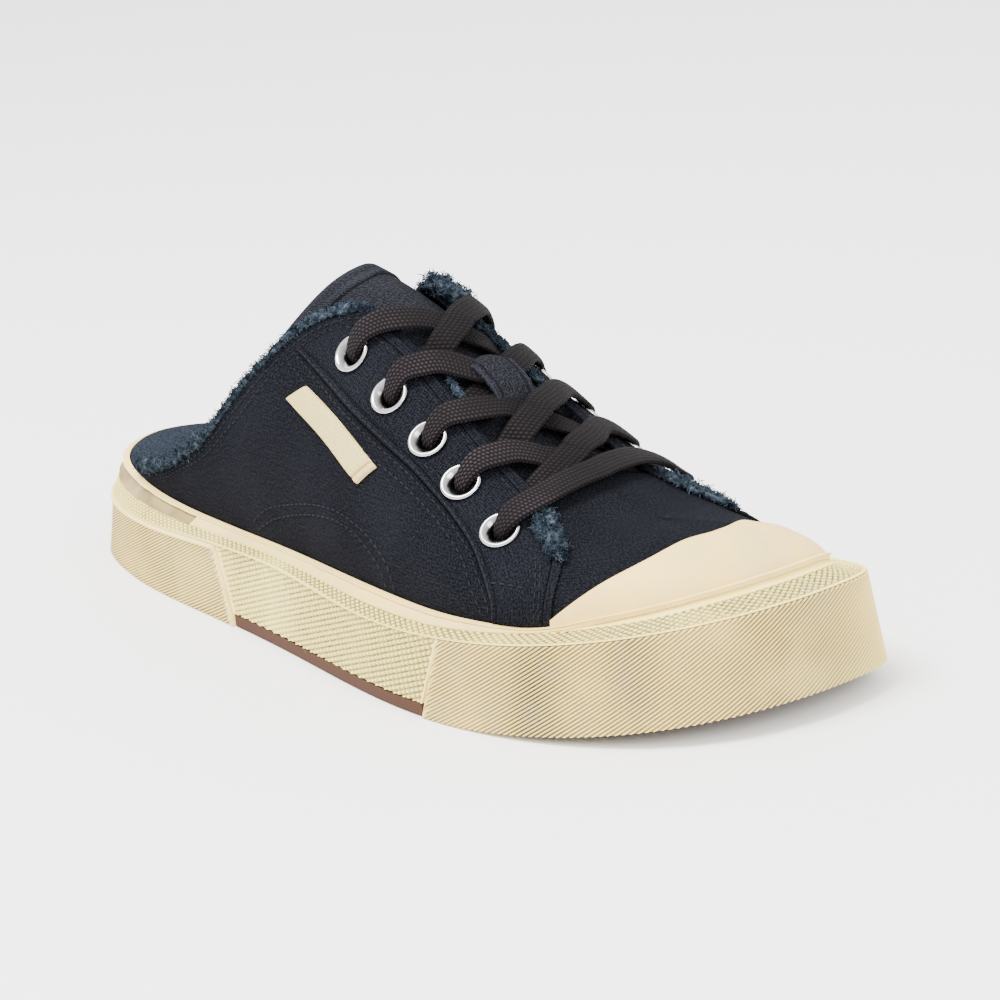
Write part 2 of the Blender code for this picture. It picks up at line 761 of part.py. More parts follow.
def make_keeper(material):
    """The lace keeper, a short tab across the middle of the tongue."""
    swing = np.linspace(*KEEPER_SWINGS, 5)
    base = GAP - CANVAS - SKIN_GAP
    outer, inner = [], []
    for place in np.linspace(*KEEPER_PLACES, 3):
        outer.append(over_point(place, swing, base + KEEPER_THICKNESS))
        inner.append(over_point(place, swing, base))
    add_sheet("lace_keeper", np.array(outer), np.array(inner), material)


def make_eyelet(name, place, turn, material):
    segments = 12
    seat =SKIN_GAP + FACING_THICKNESS + SEAT_GAP
    centre = skin_point(place, turn, seat)
    normal = last_normal(place, turn)
    along = last_point(place + 0.01, turn) - last_point(place - 0.01, turn)
    along /= np.linalg.norm(along)
    across = np.cross(normal, along)
    profile = [
        (EYELET_HOLE, 0.0),
        (EYELET_RADIUS, 0.0),
        (EYELET_RADIUS, EYELET_HEIGHT / 3),
        ((EYELET_RADIUS + EYELET_HOLE) / 2, EYELET_HEIGHT),
        (EYELET_HOLE, EYELET_HEIGHT * 0.7),
    ]
    sections = []
    for n in range(segments):
        angle = 2 * math.pi * n / segments
        out = along * math.cos(angle) + across * math.sin(angle)
        sections.append([centre + out * radius + normal * height for radius, height in profile])
    add_sweep(name, sections, material, closed=True, smooth=60)


def strap(name, start, end, lift, material):
    """A flat stretch of lace over the throat. start and end are a place, a swing and an offset."""
    sections = []
    steps = 9
    path = []
    for n in range(steps):
        t = n / (steps - 1)
        place = start[0] + (end[0] - start[0]) * t
        swing = start[1] + (end[1] - start[1]) * t
        drop = np.clip((t - 0.7) / 0.3, 0, 1) ** 2
        hump = math.sin(math.pi * t) * lift
        path.append((over_point(place, swing, start[2] + (end[2] - start[2]) * drop + hump), place, swing))
    for n, (point, place, swing) in enumerate(path):
        ahead = path[min(n + 1, steps - 1)][0] - path[max(n - 1, 0)][0]
        ahead /= np.linalg.norm(ahead)
        normal = over_point(place, swing, 1.0) - over_point(place, swing, 0.0)
        across = np.cross(normal, ahead)
        across /= np.linalg.norm(across)
        across *= LACE_WIDTH / 2
        normal = normal * LACE_THICKNESS / 2
        sections.append([point - across - normal, point + across - normal, point + across + normal, point - across + normal])
    return add_sweep(name, sections, material)


def make_laces(material):
    """Crossings of the lace over the throat, and the straight bar at its front end."""
    top = SKIN_GAP + FACING_THICKNESS + 2 * GAP + LACE_THICKNESS / 2
    under = -0.0003
    past_eyelet = 11.0
    for n in range(len(EYELETS) - 1):
        here, there = EYELETS[n], EYELETS[n + 1]
        short = 0.010 if n + 2 < len(EYELETS) else 0.026
        landing = there.place - short
        brim_lateral = float(brim_turn(np.array(landing))) + 5
        brim_medial = float(brim_turn(np.array(2 - landing))) + 7
        start = (here.place, here.turn + past_eyelet, top)
        end = (landing, 180 - brim_medial, under)
        first = strap(f"lace_cross_{n + 1}", start, end, 0.0006, material)
        start = (here.place, 180 - here.medial_turn - past_eyelet, top)
        end = (landing, brim_lateral, under)
        second = strap(f"lace_guide_{n + 1}", start, end, 0.0012, material)
        second.hide_render = True
        second.display_type = "WIRE"
        join = first.modifiers.new("join", "BOOLEAN")
        join.operation = "UNION"
        join.solver = "EXACT"
        join.object = second
    last = EYELETS[-1]
    start = (last.place, last.turn + past_eyelet, top)
    end = (last.place, 180 - last.medial_turn - past_eyelet, top)
    strap("lace_bar", start, end, 0.0004, material)


def tuft(n, k):
    """Uneven thickness of a frayed edge, the same on each run."""
    return 1 + (TUFT_LIMIT - 1) * math.sin(n * 2.4 + k * 1.7) * math.cos(n * 1.1 - k)


def make_fray(name, line, offset, size, material):
    """A frayed edge: a lumpy roll of loose threads along the places and turns of a line."""
    line = np.array(line)
    centre = skin_point(line[:, 0], line[:, 1], offset)
    normal = last_normal(line[:, 0], line[:, 1])
    sections = []
    for n in range(len(line)):
        ahead = centre[min(n + 1, len(line) - 1)] - centre[max(n - 1, 0)]
        ahead /= np.linalg.norm(ahead)
        across = np.cross(normal[n], ahead)
        ring = []
        for k in range(6):
            angle = 2 * math.pi * k / 6
            radius = size * tuft(n, k)
            ring.append(centre[n] + radius * (normal[n] * math.cos(angle) + across * math.sin(angle)))
        sections.append(ring)
    add_sweep(name, sections, material, smooth=80)


def edge_line(places):
    """Turns just beyond the canvas edge, where a frayed roll of threads lies."""
    line = []
    for place in places:
        turn = float(brim_turn(np.array(place)))
        rise = np.linalg.norm(last_point(place, turn + 1) - last_point(place, turn - 1)) / 2
        line.append((place, turn + (FRAY_RADIUS * TUFT_LIMIT + 3 * GAP) / rise))
    return line


def make_frays(material):
    """Frayed threads along the collar and at the front corner of each facing."""
    lateral = np.linspace(*COLLAR_FRAY, 22)
    lift = FRAY_RADIUS * TUFT_LIMIT + 3 * GAP - CANVAS - SKIN_GAP
    make_fray("fray_collar_lateral", edge_line(lateral), lift, FRAY_RADIUS, material)
    make_fray("fray_collar_medial", edge_line(2 - lateral), lift, FRAY_RADIUS, material)
    size = FRAY_RADIUS * FRONT_FRAY_SHRINK
    lift = size * TUFT_LIMIT + GAP
    medial = [(2 - place, turn * MEDIAL_FACING) for place, turn in FRONT_FRAY]
    make_fray("fray_front_lateral", FRONT_FRAY, lift, size, material)
    make_fray("fray_front_medial", medial, lift, size, material)


def main():
    for thing in list(bpy.data.objects):
        bpy.data.objects.remove(thing)
    canvas = make_material("canvas", (0.012, 0.014, 0.020), 0.9)
    lining = make_material("lining", (0.020, 0.022, 0.028), 0.9)
    rubber = make_material("rubber", (0.78, 0.70, 0.52), 0.55)
    gum = make_material("gum", (0.16, 0.09, 0.06), 0.6)
    thread = make_material("thread", (0.05, 0.10, 0.14), 0.95)
    cord = make_material("cord", (0.014, 0.011, 0.011), 0.85)
    steel = make_material("steel", (0.75, 0.75, 0.76), 0.2, 1.0)
    tape = make_material("tape", (0.76, 0.68, 0.52), 0.8)
    make_outsole(gum)
    make_cupsole(rubber)
    make_wraps_and_panels(rubber)
    make_tape(rubber)
    make_insole(lining)
    make_upper(canvas)
    make_toe_cap(rubber)
    make_facing("facing_lateral", True, canvas)
    make_facing("facing_medial", False, canvas)
    make_tongue(canvas)
    make_keeper(canvas)
    make_label(tape)
    for n, eyelet in enumerate(EYELETS):
        make_eyelet(f"eyelet_lateral_{n + 1}", eyelet.place, eyelet.turn, steel)
        make_eyelet(f"eyelet_medial_{n + 1}", 2 - eyelet.place, eyelet.medial_turn, steel)
    make_laces(cord)
    make_frays(thread)


main()
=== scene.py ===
# %% [markdown]
# # A backless canvas sneaker
# The shoe comes packed as plain solids. This lesson dresses them: ribbed rubber, twill canvas,
# frayed edges, turned eyelets and a flat lace that really runs through its holes.
# We start by loading the frame.

import math
from collections import namedtuple

import bmesh
import bpy
import numpy as np
from mathutils import Matrix, Vector


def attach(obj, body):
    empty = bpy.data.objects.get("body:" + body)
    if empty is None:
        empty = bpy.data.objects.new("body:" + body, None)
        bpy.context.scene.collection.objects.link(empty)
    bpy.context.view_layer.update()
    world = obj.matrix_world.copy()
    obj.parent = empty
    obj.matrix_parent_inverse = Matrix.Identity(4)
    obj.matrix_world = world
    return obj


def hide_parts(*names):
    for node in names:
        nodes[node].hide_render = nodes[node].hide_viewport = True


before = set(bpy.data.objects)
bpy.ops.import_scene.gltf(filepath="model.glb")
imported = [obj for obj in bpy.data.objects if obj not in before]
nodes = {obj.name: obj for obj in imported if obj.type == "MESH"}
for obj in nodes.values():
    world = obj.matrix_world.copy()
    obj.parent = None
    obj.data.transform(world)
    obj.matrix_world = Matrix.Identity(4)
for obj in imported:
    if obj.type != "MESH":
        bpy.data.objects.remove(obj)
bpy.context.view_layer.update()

# %% [markdown]
# ## Camera
# The view was fitted once, from the outline of the sole and the skyline of the shoe: a long
# lens about a metre away, 56 degrees round from the outer side and 16 degrees up, slightly
# rolled. A camera looks along its own -Z, so its axes are built as three columns.

# %% Place the camera
LOOK_AT = Vector((-0.006, 0.00125, 0.040))
AZIMUTH, ELEVATION, ROLL = (math.radians(angle) for angle in (56.0, 15.78, -6.08))
DISTANCE = 1.0
FOCAL_PIXELS = 3772.76
IMAGE_CENTRE = (411.67, 462.9)
IMAGE_SIZE = 1000

backward = Vector(
    (
        math.sin(AZIMUTH) * math.cos(ELEVATION),
        -math.cos(AZIMUTH) * math.cos(ELEVATION),
        math.sin(ELEVATION),
    )
)
right = Vector((math.cos(AZIMUTH), math.sin(AZIMUTH), 0.0))
up = backward.cross(right)
rolled_right = math.cos(ROLL) * right + math.sin(ROLL) * up
rolled_up = -math.sin(ROLL) * right + math.cos(ROLL) * up
turn = Matrix((rolled_right, rolled_up, backward)).transposed().to_4x4()

bpy.ops.object.camera_add()
camera = bpy.context.object
camera.name = "camera"
camera.matrix_world = Matrix.Translation(LOOK_AT + backward * DISTANCE) @ turn
camera.data.sensor_width = 36
camera.data.lens = FOCAL_PIXELS * 36 / IMAGE_SIZE
camera.data.shift_x = (IMAGE_SIZE / 2 - IMAGE_CENTRE[0]) / IMAGE_SIZE
camera.data.shift_y = (IMAGE_CENTRE[1] - IMAGE_SIZE / 2) / IMAGE_SIZE
camera.data.clip_end = 20
bpy.context.scene.camera = camera
print("camera at", [round(c, 3) for c in camera.location])

# %% [markdown]
# ## Floor and light
# A product photograph like this has a white sweep and large soft lamps. One plane is enough
# for the floor, since the lens never sees its edge, and the light comes from a pale world with
# a big lamp above the outer side and a weaker one from the toe.

# %% Floor and lamps
bpy.ops.object.select_all(action="DESELECT")
bpy.ops.mesh.primitive_plane_add(size=12, location=(0, 0, -0.0002))
floor = bpy.context.object
floor.name = "floor"
paper = bpy.data.materials.new("paper")
paper.use_nodes = True
paper_shader = paper.node_tree.nodes["Principled BSDF"]
paper_shader.inputs["Base Color"].default_value = (0.96, 0.96, 0.96, 1)
paper_shader.inputs["Roughness"].default_value = 0.55
paper_shader.inputs["Specular IOR Level"].default_value = 0.15
floor.data.materials.append(paper)

world = bpy.data.worlds.new("studio")
bpy.context.scene.world = world
world.use_nodes = True
world.node_tree.nodes["Background"].inputs["Color"].default_value = (1, 1, 1, 1)
world.node_tree.nodes["Background"].inputs["Strength"].default_value = 2.5


def soft_lamp(name, place, target, size, watts):
    """A square area lamp that faces a target."""
    bpy.ops.object.light_add(type="AREA", location=place)
    lamp = bpy.context.object
    lamp.name = name
    lamp.data.shape = "SQUARE"
    lamp.data.size = size
    lamp.data.energy = watts
    aim = Vector(target) - Vector(place)
    lamp.rotation_euler = aim.to_track_quat("-Z", "Y").to_euler()
    return lamp


SHOE_MIDDLE = (0, 0, 0.04)
soft_lamp("lamp_above", (-0.10, -0.45, 1.30), SHOE_MIDDLE, 0.6, 44)
soft_lamp("lamp_toe", (1.2, -0.1, 0.7), SHOE_MIDDLE, 0.6, 12)
print("floor and lamps ready")

# %% [markdown]
# ## The last
# Shoemakers shape a shoe over a last, and so do we. The tables give the sole's outline, the
# heights of its side and the sections of the instep, and every later piece is laid out by
# three numbers: a place round the sole (0 heel, 1 toe, 2 heel again), a turn up the side (0 at
# the rim, 90 on the crest) and an offset outwards. That keeps all layers parallel.

# %% Tables of the last
LENGTH, WIDTH = 0.286, 0.1033
RIM_HEIGHT, RIM_INSET = 0.0251, 0.0078
TOE_SPRING = 0.0066
OUTSOLE_THICKNESS = 0.0032
INSTEP_HEIGHT = 0.0900
CUP_DEPTH = 0.0075
CANVAS = 0.0018
TAPE = 0.0010
GAP = 0.0003
DEGREE = math.pi / 180

OUTLINE_LATERAL = [
    (0.000, 0.009), (0.012, -0.120), (0.045, -0.223), (0.110, -0.306), (0.199, -0.363),
    (0.329, -0.397), (0.479, -0.436), (0.618, -0.485), (0.718, -0.500), (0.818, -0.463),
    (0.897, -0.376), (0.955, -0.247), (0.986, -0.105),
]
OUTLINE_MEDIAL = [
    (1.000, 0.089), (0.997, 0.220), (0.984, 0.338), (0.952, 0.412), (0.897, 0.450),
    (0.818, 0.481), (0.718, 0.499), (0.618, 0.475), (0.479, 0.392), (0.329, 0.348),
    (0.199, 0.356), (0.110, 0.337), (0.045, 0.263), (0.012, 0.145),
]
Side = namedtuple("Side", "at wrap rim lean inset band")
SIDE = [
    Side(0.00, 0.753, 1.110, 0.59, 1.038, 0.50),
    Side(0.08, 0.689, 1.040, 0.30, 1.013, 0.50),
    Side(0.20, 0.733, 0.980, 0.15, 1.000, 0.50),
    Side(0.35, 0.821, 0.952, 0.15, 1.000, 0.50),
    Side(0.45, 0.857, 0.968, 0.15, 1.000, 0.50),
    Side(0.65, 0.797, 1.000, 0.15, 1.000, 0.50),
    Side(0.76, 0.853, 1.000, 0.15, 1.000, 0.55),
    Side(0.85, 0.932, 1.020, 0.23, 1.180, 0.80),
    Side(0.92, 1.028, 1.135, 0.33, 1.438, 1.00),
    Side(1.00, 1.167, 1.310, 0.45, 1.731, 1.00),
]
Section = namedtuple("Section", "at crest centre lateral medial")
LAST = [
    Section(0.00, 1.05, -0.012, 2.00, 1.80),
    Section(0.20, 1.07, -0.012, 2.00, 1.80),
    Section(0.35, 1.10, -0.012, 1.90, 1.70),
    Section(0.45, 1.07, -0.012, 1.90, 1.70),
    Section(0.53, 0.99, -0.012, 1.90, 1.70),
    Section(0.58, 0.90, -0.012, 1.90, 1.65),
    Section(0.63, 0.80, -0.010, 1.95, 1.60),
    Section(0.68, 0.70, -0.005, 2.00, 1.60),
    Section(0.73, 0.61, 0.000, 2.00, 1.60),
    Section(0.78, 0.54, 0.010, 2.10, 1.70),
    Section(0.83, 0.49, 0.020, 2.20, 1.75),
    Section(0.88, 0.46, 0.030, 2.20, 1.75),
    Section(1.00, 0.44, 0.040, 2.20, 1.75),
]
POLE_AT, POLE_EASE = 0.845, 0.05
Brim = namedtuple("Brim", "at lateral medial")
BRIM = [
    Brim(0.120, 1.0, 1.0),
    Brim(0.222, 8.5, 8.5),
    Brim(0.307, 21.0, 20.0),
    Brim(0.337, 28.0, 27.0),
    Brim(0.400, 42.0, 42.0),
    Brim(0.467, 58.5, 58.5),
    Brim(0.503, 66.5, 68.0),
    Brim(0.530, 70.5, 71.0),
    Brim(0.590, 71.5, 69.0),
    Brim(0.642, 71.0, 66.0),
    Brim(0.695, 69.5, 63.0),
    Brim(0.757, 66.0, 60.0),
]
HEEL_COLUMN, THROAT_FRONT = 0.165, 0.768


# %% Curves through the tables
def curve_through(rows, column):
    """Smooth curve of one column of a table over its shares of the length."""
    at = np.array([row.at for row in rows])
    value = np.array([getattr(row, column) for row in rows])
    slope = np.gradient(value, at)

    def read(share):
        share = np.clip(share, at[0], at[-1])
        low = np.clip(np.searchsorted(at, share, side="right") - 1, 0, len(at) - 2)
        span = at[low + 1] - at[low]
        t = (share - at[low]) / span
        rise = value[low] * (2 * t**3 - 3 * t**2 + 1) + value[low + 1] * (3 * t**2 - 2 * t**3)
        return rise + span * (slope[low] * (t**3 - 2 * t**2 + t) + slope[low + 1] * (t**3 - t**2))

    return read


def closed_spline(points, per_span):
    """Points of the smooth closed curve through the given ones, per_span between each two."""
    count = len(points)
    chord = np.linalg.norm(np.roll(points, -1, 0) - points, axis=1)
    matrix = np.zeros((count, count))
    wanted = np.zeros_like(points)
    for i in range(count):
        before, after = chord[i - 1], chord[i]
        matrix[i, i - 1] = after
        matrix[i, i] = 2 * (before + after)
        matrix[i, (i + 1) % count] = before
        step_before = (points[i] - points[i - 1]) / before
        step_after = (points[(i + 1) % count] - points[i]) / after
        wanted[i] = 3 * (after * step_before + before * step_after)
    slope = np.linalg.solve(matrix, wanted)
    t = (np.arange(per_span) / per_span)[:, None]
    out = []
    for i in range(count):
        j = (i + 1) % count
        hold = points[i] * (2 * t**3 - 3 * t**2 + 1) + points[j] * (3 * t**2 - 2 * t**3)
        bend = slope[i] * (t**3 - 2 * t**2 + t) + slope[j] * (t**3 - t**2)
        out.append(hold + chord[i] * bend)
    return np.vstack(out)


# %% The sole's outline, read by place
def unit(vectors):
    """Vectors of length 1 that point the same way."""
    return vectors / np.linalg.norm(vectors, axis=-1)[..., None]


PER_SPAN = 40
outline = np.array(OUTLINE_LATERAL + OUTLINE_MEDIAL) * (LENGTH, WIDTH) - (LENGTH / 2, 0.0)
dense = closed_spline(outline, PER_SPAN)
toe_index = len(OUTLINE_LATERAL) * PER_SPAN
loop = np.vstack([dense, dense[:1]])
run = np.r_[0, np.cumsum(np.linalg.norm(np.diff(loop, axis=0), axis=1))]
HALF = run[toe_index]
loop_place = np.r_[run[:toe_index] / HALF, 1 + (run[toe_index:] - HALF) / (run[-1] - HALF)]
tangent = unit(np.roll(dense, -1, 0) - np.roll(dense, 1, 0))
inward = np.c_[-tangent[:, 1], tangent[:, 0]]
inward = np.vstack([inward, inward[:1]])
print("half outline", round(float(HALF) * 1000, 1), "mm")


def read_loop(values, place):
    place = np.mod(place, 2.0)
    return np.stack([np.interp(place, loop_place, values[:, k]) for k in (0, 1)], axis=-1)


def share_of(place):
    return read_loop(loop, place)[..., 0] / LENGTH + 0.5


def place_at(share, medial=False):
    """Place of a share of the length, as 0 to 1 on the lateral side or 1 to 2 on the medial."""
    x = (share - 0.5) * LENGTH
    if medial:
        return float(np.interp(x, loop[:toe_index:-1, 0], loop_place[:toe_index:-1]))
    return float(np.interp(x, loop[:toe_index, 0], loop_place[:toe_index]))


def ring(place, inset, height):
    """Points inside the outline by an inset, at a height."""
    way = unit(read_loop(inward, place))
    plan = read_loop(loop, place) + way * np.broadcast_to(inset, np.shape(place))[..., None]
    return np.concatenate([plan, np.broadcast_to(height, np.shape(place))[..., None]], axis=-1)


side = {name: curve_through(SIDE, name) for name in Side._fields[1:]}
last = {name: curve_through(LAST, name) for name in Section._fields[1:]}
brim = {name: curve_through(BRIM, name) for name in Brim._fields[1:]}


def spring(place):
    return TOE_SPRING * np.clip((share_of(place) - 0.72) / 0.28, 0, 1) ** 2


def wrap_height(place):
    return RIM_HEIGHT * side["wrap"](share_of(place))


def rim_height(place):
    return RIM_HEIGHT * side["rim"](share_of(place))


def lean(place):
    return RIM_INSET * side["lean"](share_of(place))


def rim_inset(place):
    return RIM_INSET * side["inset"](share_of(place))


def band_inset(place):
    return lean(place) + side["band"](share_of(place)) * (rim_inset(place) - lean(place))


def band_height(place):
    low = wrap_height(place)
    return low + side["band"](share_of(place)) * (rim_height(place) - low)


def canvas_inset(place):
    return rim_inset(place) + TAPE + GAP


# %% The upper's surface, read by place, turn and offset
def column_share(place):
    return 0.5 * (share_of(place) + share_of(2 - place))


def crest_point(place):
    ahead = POLE_AT - column_share(place)
    share = POLE_AT - 0.5 * (ahead + np.sqrt(ahead**2 + POLE_EASE**2))
    height = INSTEP_HEIGHT * last["crest"](share)
    return share, np.stack([(share - 0.5) * LENGTH, WIDTH * last["centre"](share), height], -1)


def last_point(place, turn):
    place, turn = np.broadcast_arrays(np.asarray(place, float), np.asarray(turn, float) * DEGREE)
    start = ring(place, canvas_inset(place), rim_height(place))
    share, top = crest_point(place)
    medial = np.clip((np.mod(place, 2.0) - 0.9) / 0.2, 0, 1)
    medial = medial * medial * (3 - 2 * medial)
    power = 2.0 / (last["lateral"](share) * (1 - medial) + last["medial"](share) * medial)
    across = 1 - np.cos(turn).clip(0) ** power
    rise = np.sin(turn).clip(0) ** power
    return start + (top - start) * np.stack([across, across, rise], -1)


def side_normal(place, turn):
    step = 0.004
    along = last_point(place + step, turn) - last_point(place - step, turn)
    rise = last_point(place, np.minimum(turn + 1, 89)) - last_point(place, np.clip(turn - 1, 0, 87))
    return unit(np.cross(along, rise))


def last_normal(place, turn):
    place, turn = np.broadcast_arrays(np.asarray(place, float), np.asarray(turn, float))
    blend = np.clip((turn - 80) / 10, 0, 1)[..., None] / 2
    return unit(side_normal(place, turn) * (1 - blend) + side_normal(2 - place, turn) * blend)


def skin(place, turn, offset=0.0):
    return last_point(place, turn) + last_normal(place, turn) * np.asarray(offset)[..., None]


def over(place, swing, offset=0.0):
    """As skin, with a swing from 0 at the lateral rim over 90 to 180 at the medial rim."""
    place, swing, offset = np.broadcast_arrays(place, swing, offset)
    lateral = swing <= 90
    return skin(np.where(lateral, place, 2 - place), np.where(lateral, swing, 180 - swing), offset)


def brim_turn(place):
    share = column_share(place)
    turn = np.where(np.mod(place, 2.0) < 1.0, brim["lateral"](share), brim["medial"](share))
    return np.where(share > THROAT_FRONT, 90.0, turn)


# %% [markdown]
# ## Making meshes
# A few helpers turn points into tubes and walled sheets and hand a finished piece to the frame.
# The sheet keeps a UV map in millimetres, so weave and knit keep their true size wherever a
# piece bends, and a groove value, which tells the rubber where dirt collects and the cloth and steel where shade
# and highlight are painted.

# %% Helpers for pieces
def new_piece(name, points, faces, smooth=None):
    """A smooth object. With an angle in degrees, steeper edges stay sharp."""
    mesh = bpy.data.meshes.new(name)
    mesh.from_pydata(points.tolist(), [], faces)
    mesh.shade_smooth()
    if smooth is not None:
        mesh.set_sharp_from_angle(angle=smooth * DEGREE)
    piece = bpy.data.objects.new(name, mesh)
    bpy.context.scene.collection.objects.link(piece)
    return piece


def mark_groove(piece, values):
    attribute = piece.data.attributes.new("groove", "FLOAT", "POINT")
    attribute.data.foreach_set("value", values.reshape(-1).astype(np.float32))


def tube_faces(rings, size):
    """Faces round a tube of rings, with both ends closed."""
    grid = np.arange(rings * size).reshape(rings, size)
    nxt = np.roll(grid, -1, axis=1)
    faces = np.stack([grid[:-1], grid[1:], nxt[1:], nxt[:-1]], -1).reshape(-1, 4).tolist()
    return faces + [grid[0].tolist(), grid[-1, ::-1].tolist()]


def finish_piece(piece, material, slot, *replaced):
    """Gives a piece its material and its place in the frame."""
    piece.data.materials.clear()
    piece.data.materials.append(material)
    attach(piece, "root")
    if replaced:
        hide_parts(*replaced)
    print(piece.name, len(piece.data.polygons), "faces")
    return piece


def walled_sheet(name, outer, inner, groove, smooth):
    """A closed wall between two grids. Points of the outer grid that meet are joined."""
    uv = arc_uv(outer)
    rows, columns = outer.shape[:2]
    flat = outer.reshape(-1, 3)
    keys = np.round(flat / 4e-6).astype(np.int64)
    _, first, index = np.unique(keys, axis=0, return_index=True, return_inverse=True)
    index = index.reshape(-1)
    grid = np.arange(rows * columns).reshape(rows, columns)
    quads = np.stack([grid[:-1, :-1], grid[:-1, 1:], grid[1:, 1:], grid[1:, :-1]], -1).reshape(-1, 4)
    panels, corners = [], []
    for quad in quads.tolist():
        ring_ids, kept = [], []
        for n, corner in enumerate(quad):
            if index[corner] != index[quad[n - 1]]:
                ring_ids.append(int(index[corner]))
                kept.append(corner)
        if len(set(ring_ids)) >= 3:
            panels.append(ring_ids)
            corners.append(kept)
    uses = {}
    for ring_ids in panels:
        for n in range(len(ring_ids)):
            edge = (ring_ids[n - 1], ring_ids[n])
            edge = edge if edge[0] < edge[1] else edge[::-1]
            uses[edge] = uses.get(edge, 0) + 1
    size = len(first)
    points = np.vstack([flat[first], inner.reshape(-1, 3)[first]])
    faces = list(panels) + [[c + size for c in ring_ids[::-1]] for ring_ids in panels]
    loops = [c for kept in corners for c in kept] + [c for kept in corners for c in kept[::-1]]
    for ring_ids, kept in zip(panels, corners):
        for n in range(len(ring_ids)):
            a, b = ring_ids[n - 1], ring_ids[n]
            if uses[(a, b) if a < b else (b, a)] == 1:
                faces.append([b, a, a + size, b + size])
                loops += [kept[n], kept[n - 1], kept[n - 1], kept[n]]
    piece = new_piece(name, points, faces, smooth)
    layer = piece.data.uv_layers.new(name="cloth")
    layer.data.foreach_set("uv", (uv.reshape(-1, 2)[loops] * 1000).astype(np.float32).ravel())
    if groove is not None:
        value = groove.reshape(-1)[first]
        mark_groove(piece, np.r_[value, value])
    return piece


def arc_uv(points):
    """A UV of arc lengths, in metres, along the columns and rows of a grid of points."""
    along = np.linalg.norm(np.diff(points, axis=1), axis=2)
    rise = np.linalg.norm(np.diff(points, axis=0), axis=2)
    u = np.concatenate([np.zeros((points.shape[0], 1)), np.cumsum(along, 1)], 1)
    v = np.concatenate([np.zeros((1, points.shape[1])), np.cumsum(rise, 0)], 0)
    return np.stack([u, v], -1)


# %% [markdown]
# ## Shared shader effects
# Several finishes need the same things: a fine weave, and dirt that gathers in patches. Each
# is a node group, built once with named inputs, that puts out only masks and heights.

# %% Node helpers
def new_group(name, inputs, outputs):
    group = bpy.data.node_groups.new(name, "ShaderNodeTree")
    for label, kind, value in inputs:
        socket = group.interface.new_socket(name=label, in_out="INPUT", socket_type=kind)
        if value is not None:
            socket.default_value = value
    for label, kind in outputs:
        group.interface.new_socket(name=label, in_out="OUTPUT", socket_type=kind)
    source = group.nodes.new("NodeGroupInput")
    target = group.nodes.new("NodeGroupOutput")
    return group, source, target


def wire(tree, output, entry):
    tree.links.new(output, entry)


def math_node(tree, operation, first, second=None, third=None, clamp=False):
    node = tree.nodes.new("ShaderNodeMath")
    node.operation = operation
    node.use_clamp = clamp
    for n, value in enumerate((first, second, third)):
        if value is None:
            continue
        if isinstance(value, (int, float)):
            node.inputs[n].default_value = value
        else:
            tree.links.new(value, node.inputs[n])
    return node.outputs[0]


def noise_node(tree, vector, scale, detail=3.0, roughness=0.55):
    node = tree.nodes.new("ShaderNodeTexNoise")
    node.inputs["Scale"].default_value = scale
    node.inputs["Detail"].default_value = detail
    node.inputs["Roughness"].default_value = roughness
    tree.links.new(vector, node.inputs["Vector"])
    return node.outputs["Fac"]


def range_node(tree, value, low, high, to_low=0.0, to_high=1.0):
    node = tree.nodes.new("ShaderNodeMapRange")
    node.interpolation_type = "SMOOTHSTEP"
    tree.links.new(value, node.inputs["Value"])
    for label, number in (("From Min", low), ("From Max", high), ("To Min", to_low), ("To Max", to_high)):
        node.inputs[label].default_value = number
    return node.outputs["Result"]


def mix_node(tree, factor, first, second):
    node = tree.nodes.new("ShaderNodeMix")
    node.data_type = "RGBA"
    for label, value in (("Factor", factor), ("A", first), ("B", second)):
        if isinstance(value, tuple):
            node.inputs[label].default_value = (*value, 1.0)
        else:
            tree.links.new(value, node.inputs[label])
    return node.outputs["Result"]


# %% The weave group
weave, weave_in, weave_out = new_group(
    "weave",
    [
        ("UV", "NodeSocketVector", None),
        ("Pitch", "NodeSocketFloat", 0.5),
        ("Slant", "NodeSocketFloat", 1.0),
        ("Cross", "NodeSocketFloat", 0.4),
    ],
    [("Height", "NodeSocketFloat"), ("Speckle", "NodeSocketFloat")],
)
split = weave.nodes.new("ShaderNodeSeparateXYZ")
wire(weave, weave_in.outputs["UV"], split.inputs[0])
wander = noise_node(weave, weave_in.outputs["UV"], 0.35, 2.0)
warp = math_node(weave, "DIVIDE", split.outputs["X"], weave_in.outputs["Pitch"])
warp = math_node(weave, "MULTIPLY_ADD", wander, 1.6, warp)
weft = math_node(weave, "DIVIDE", split.outputs["Y"], weave_in.outputs["Pitch"])
slanted = math_node(weave, "ADD", warp, math_node(weave, "MULTIPLY", weft, weave_in.outputs["Slant"]))
twill = math_node(weave, "SINE", math_node(weave, "MULTIPLY", slanted, 2 * math.pi))
cross = math_node(weave, "SINE", math_node(weave, "MULTIPLY", weft, 2 * math.pi))
lift = math_node(weave, "ADD", twill, math_node(weave, "MULTIPLY", cross, weave_in.outputs["Cross"]))
wire(weave, math_node(weave, "MULTIPLY_ADD", lift, 0.35, 0.5), weave_out.inputs["Height"])
fine = noise_node(weave, weave_in.outputs["UV"], 1.5, 2.0, 0.8)
wire(weave, range_node(weave, fine, 0.44, 0.62), weave_out.inputs["Speckle"])

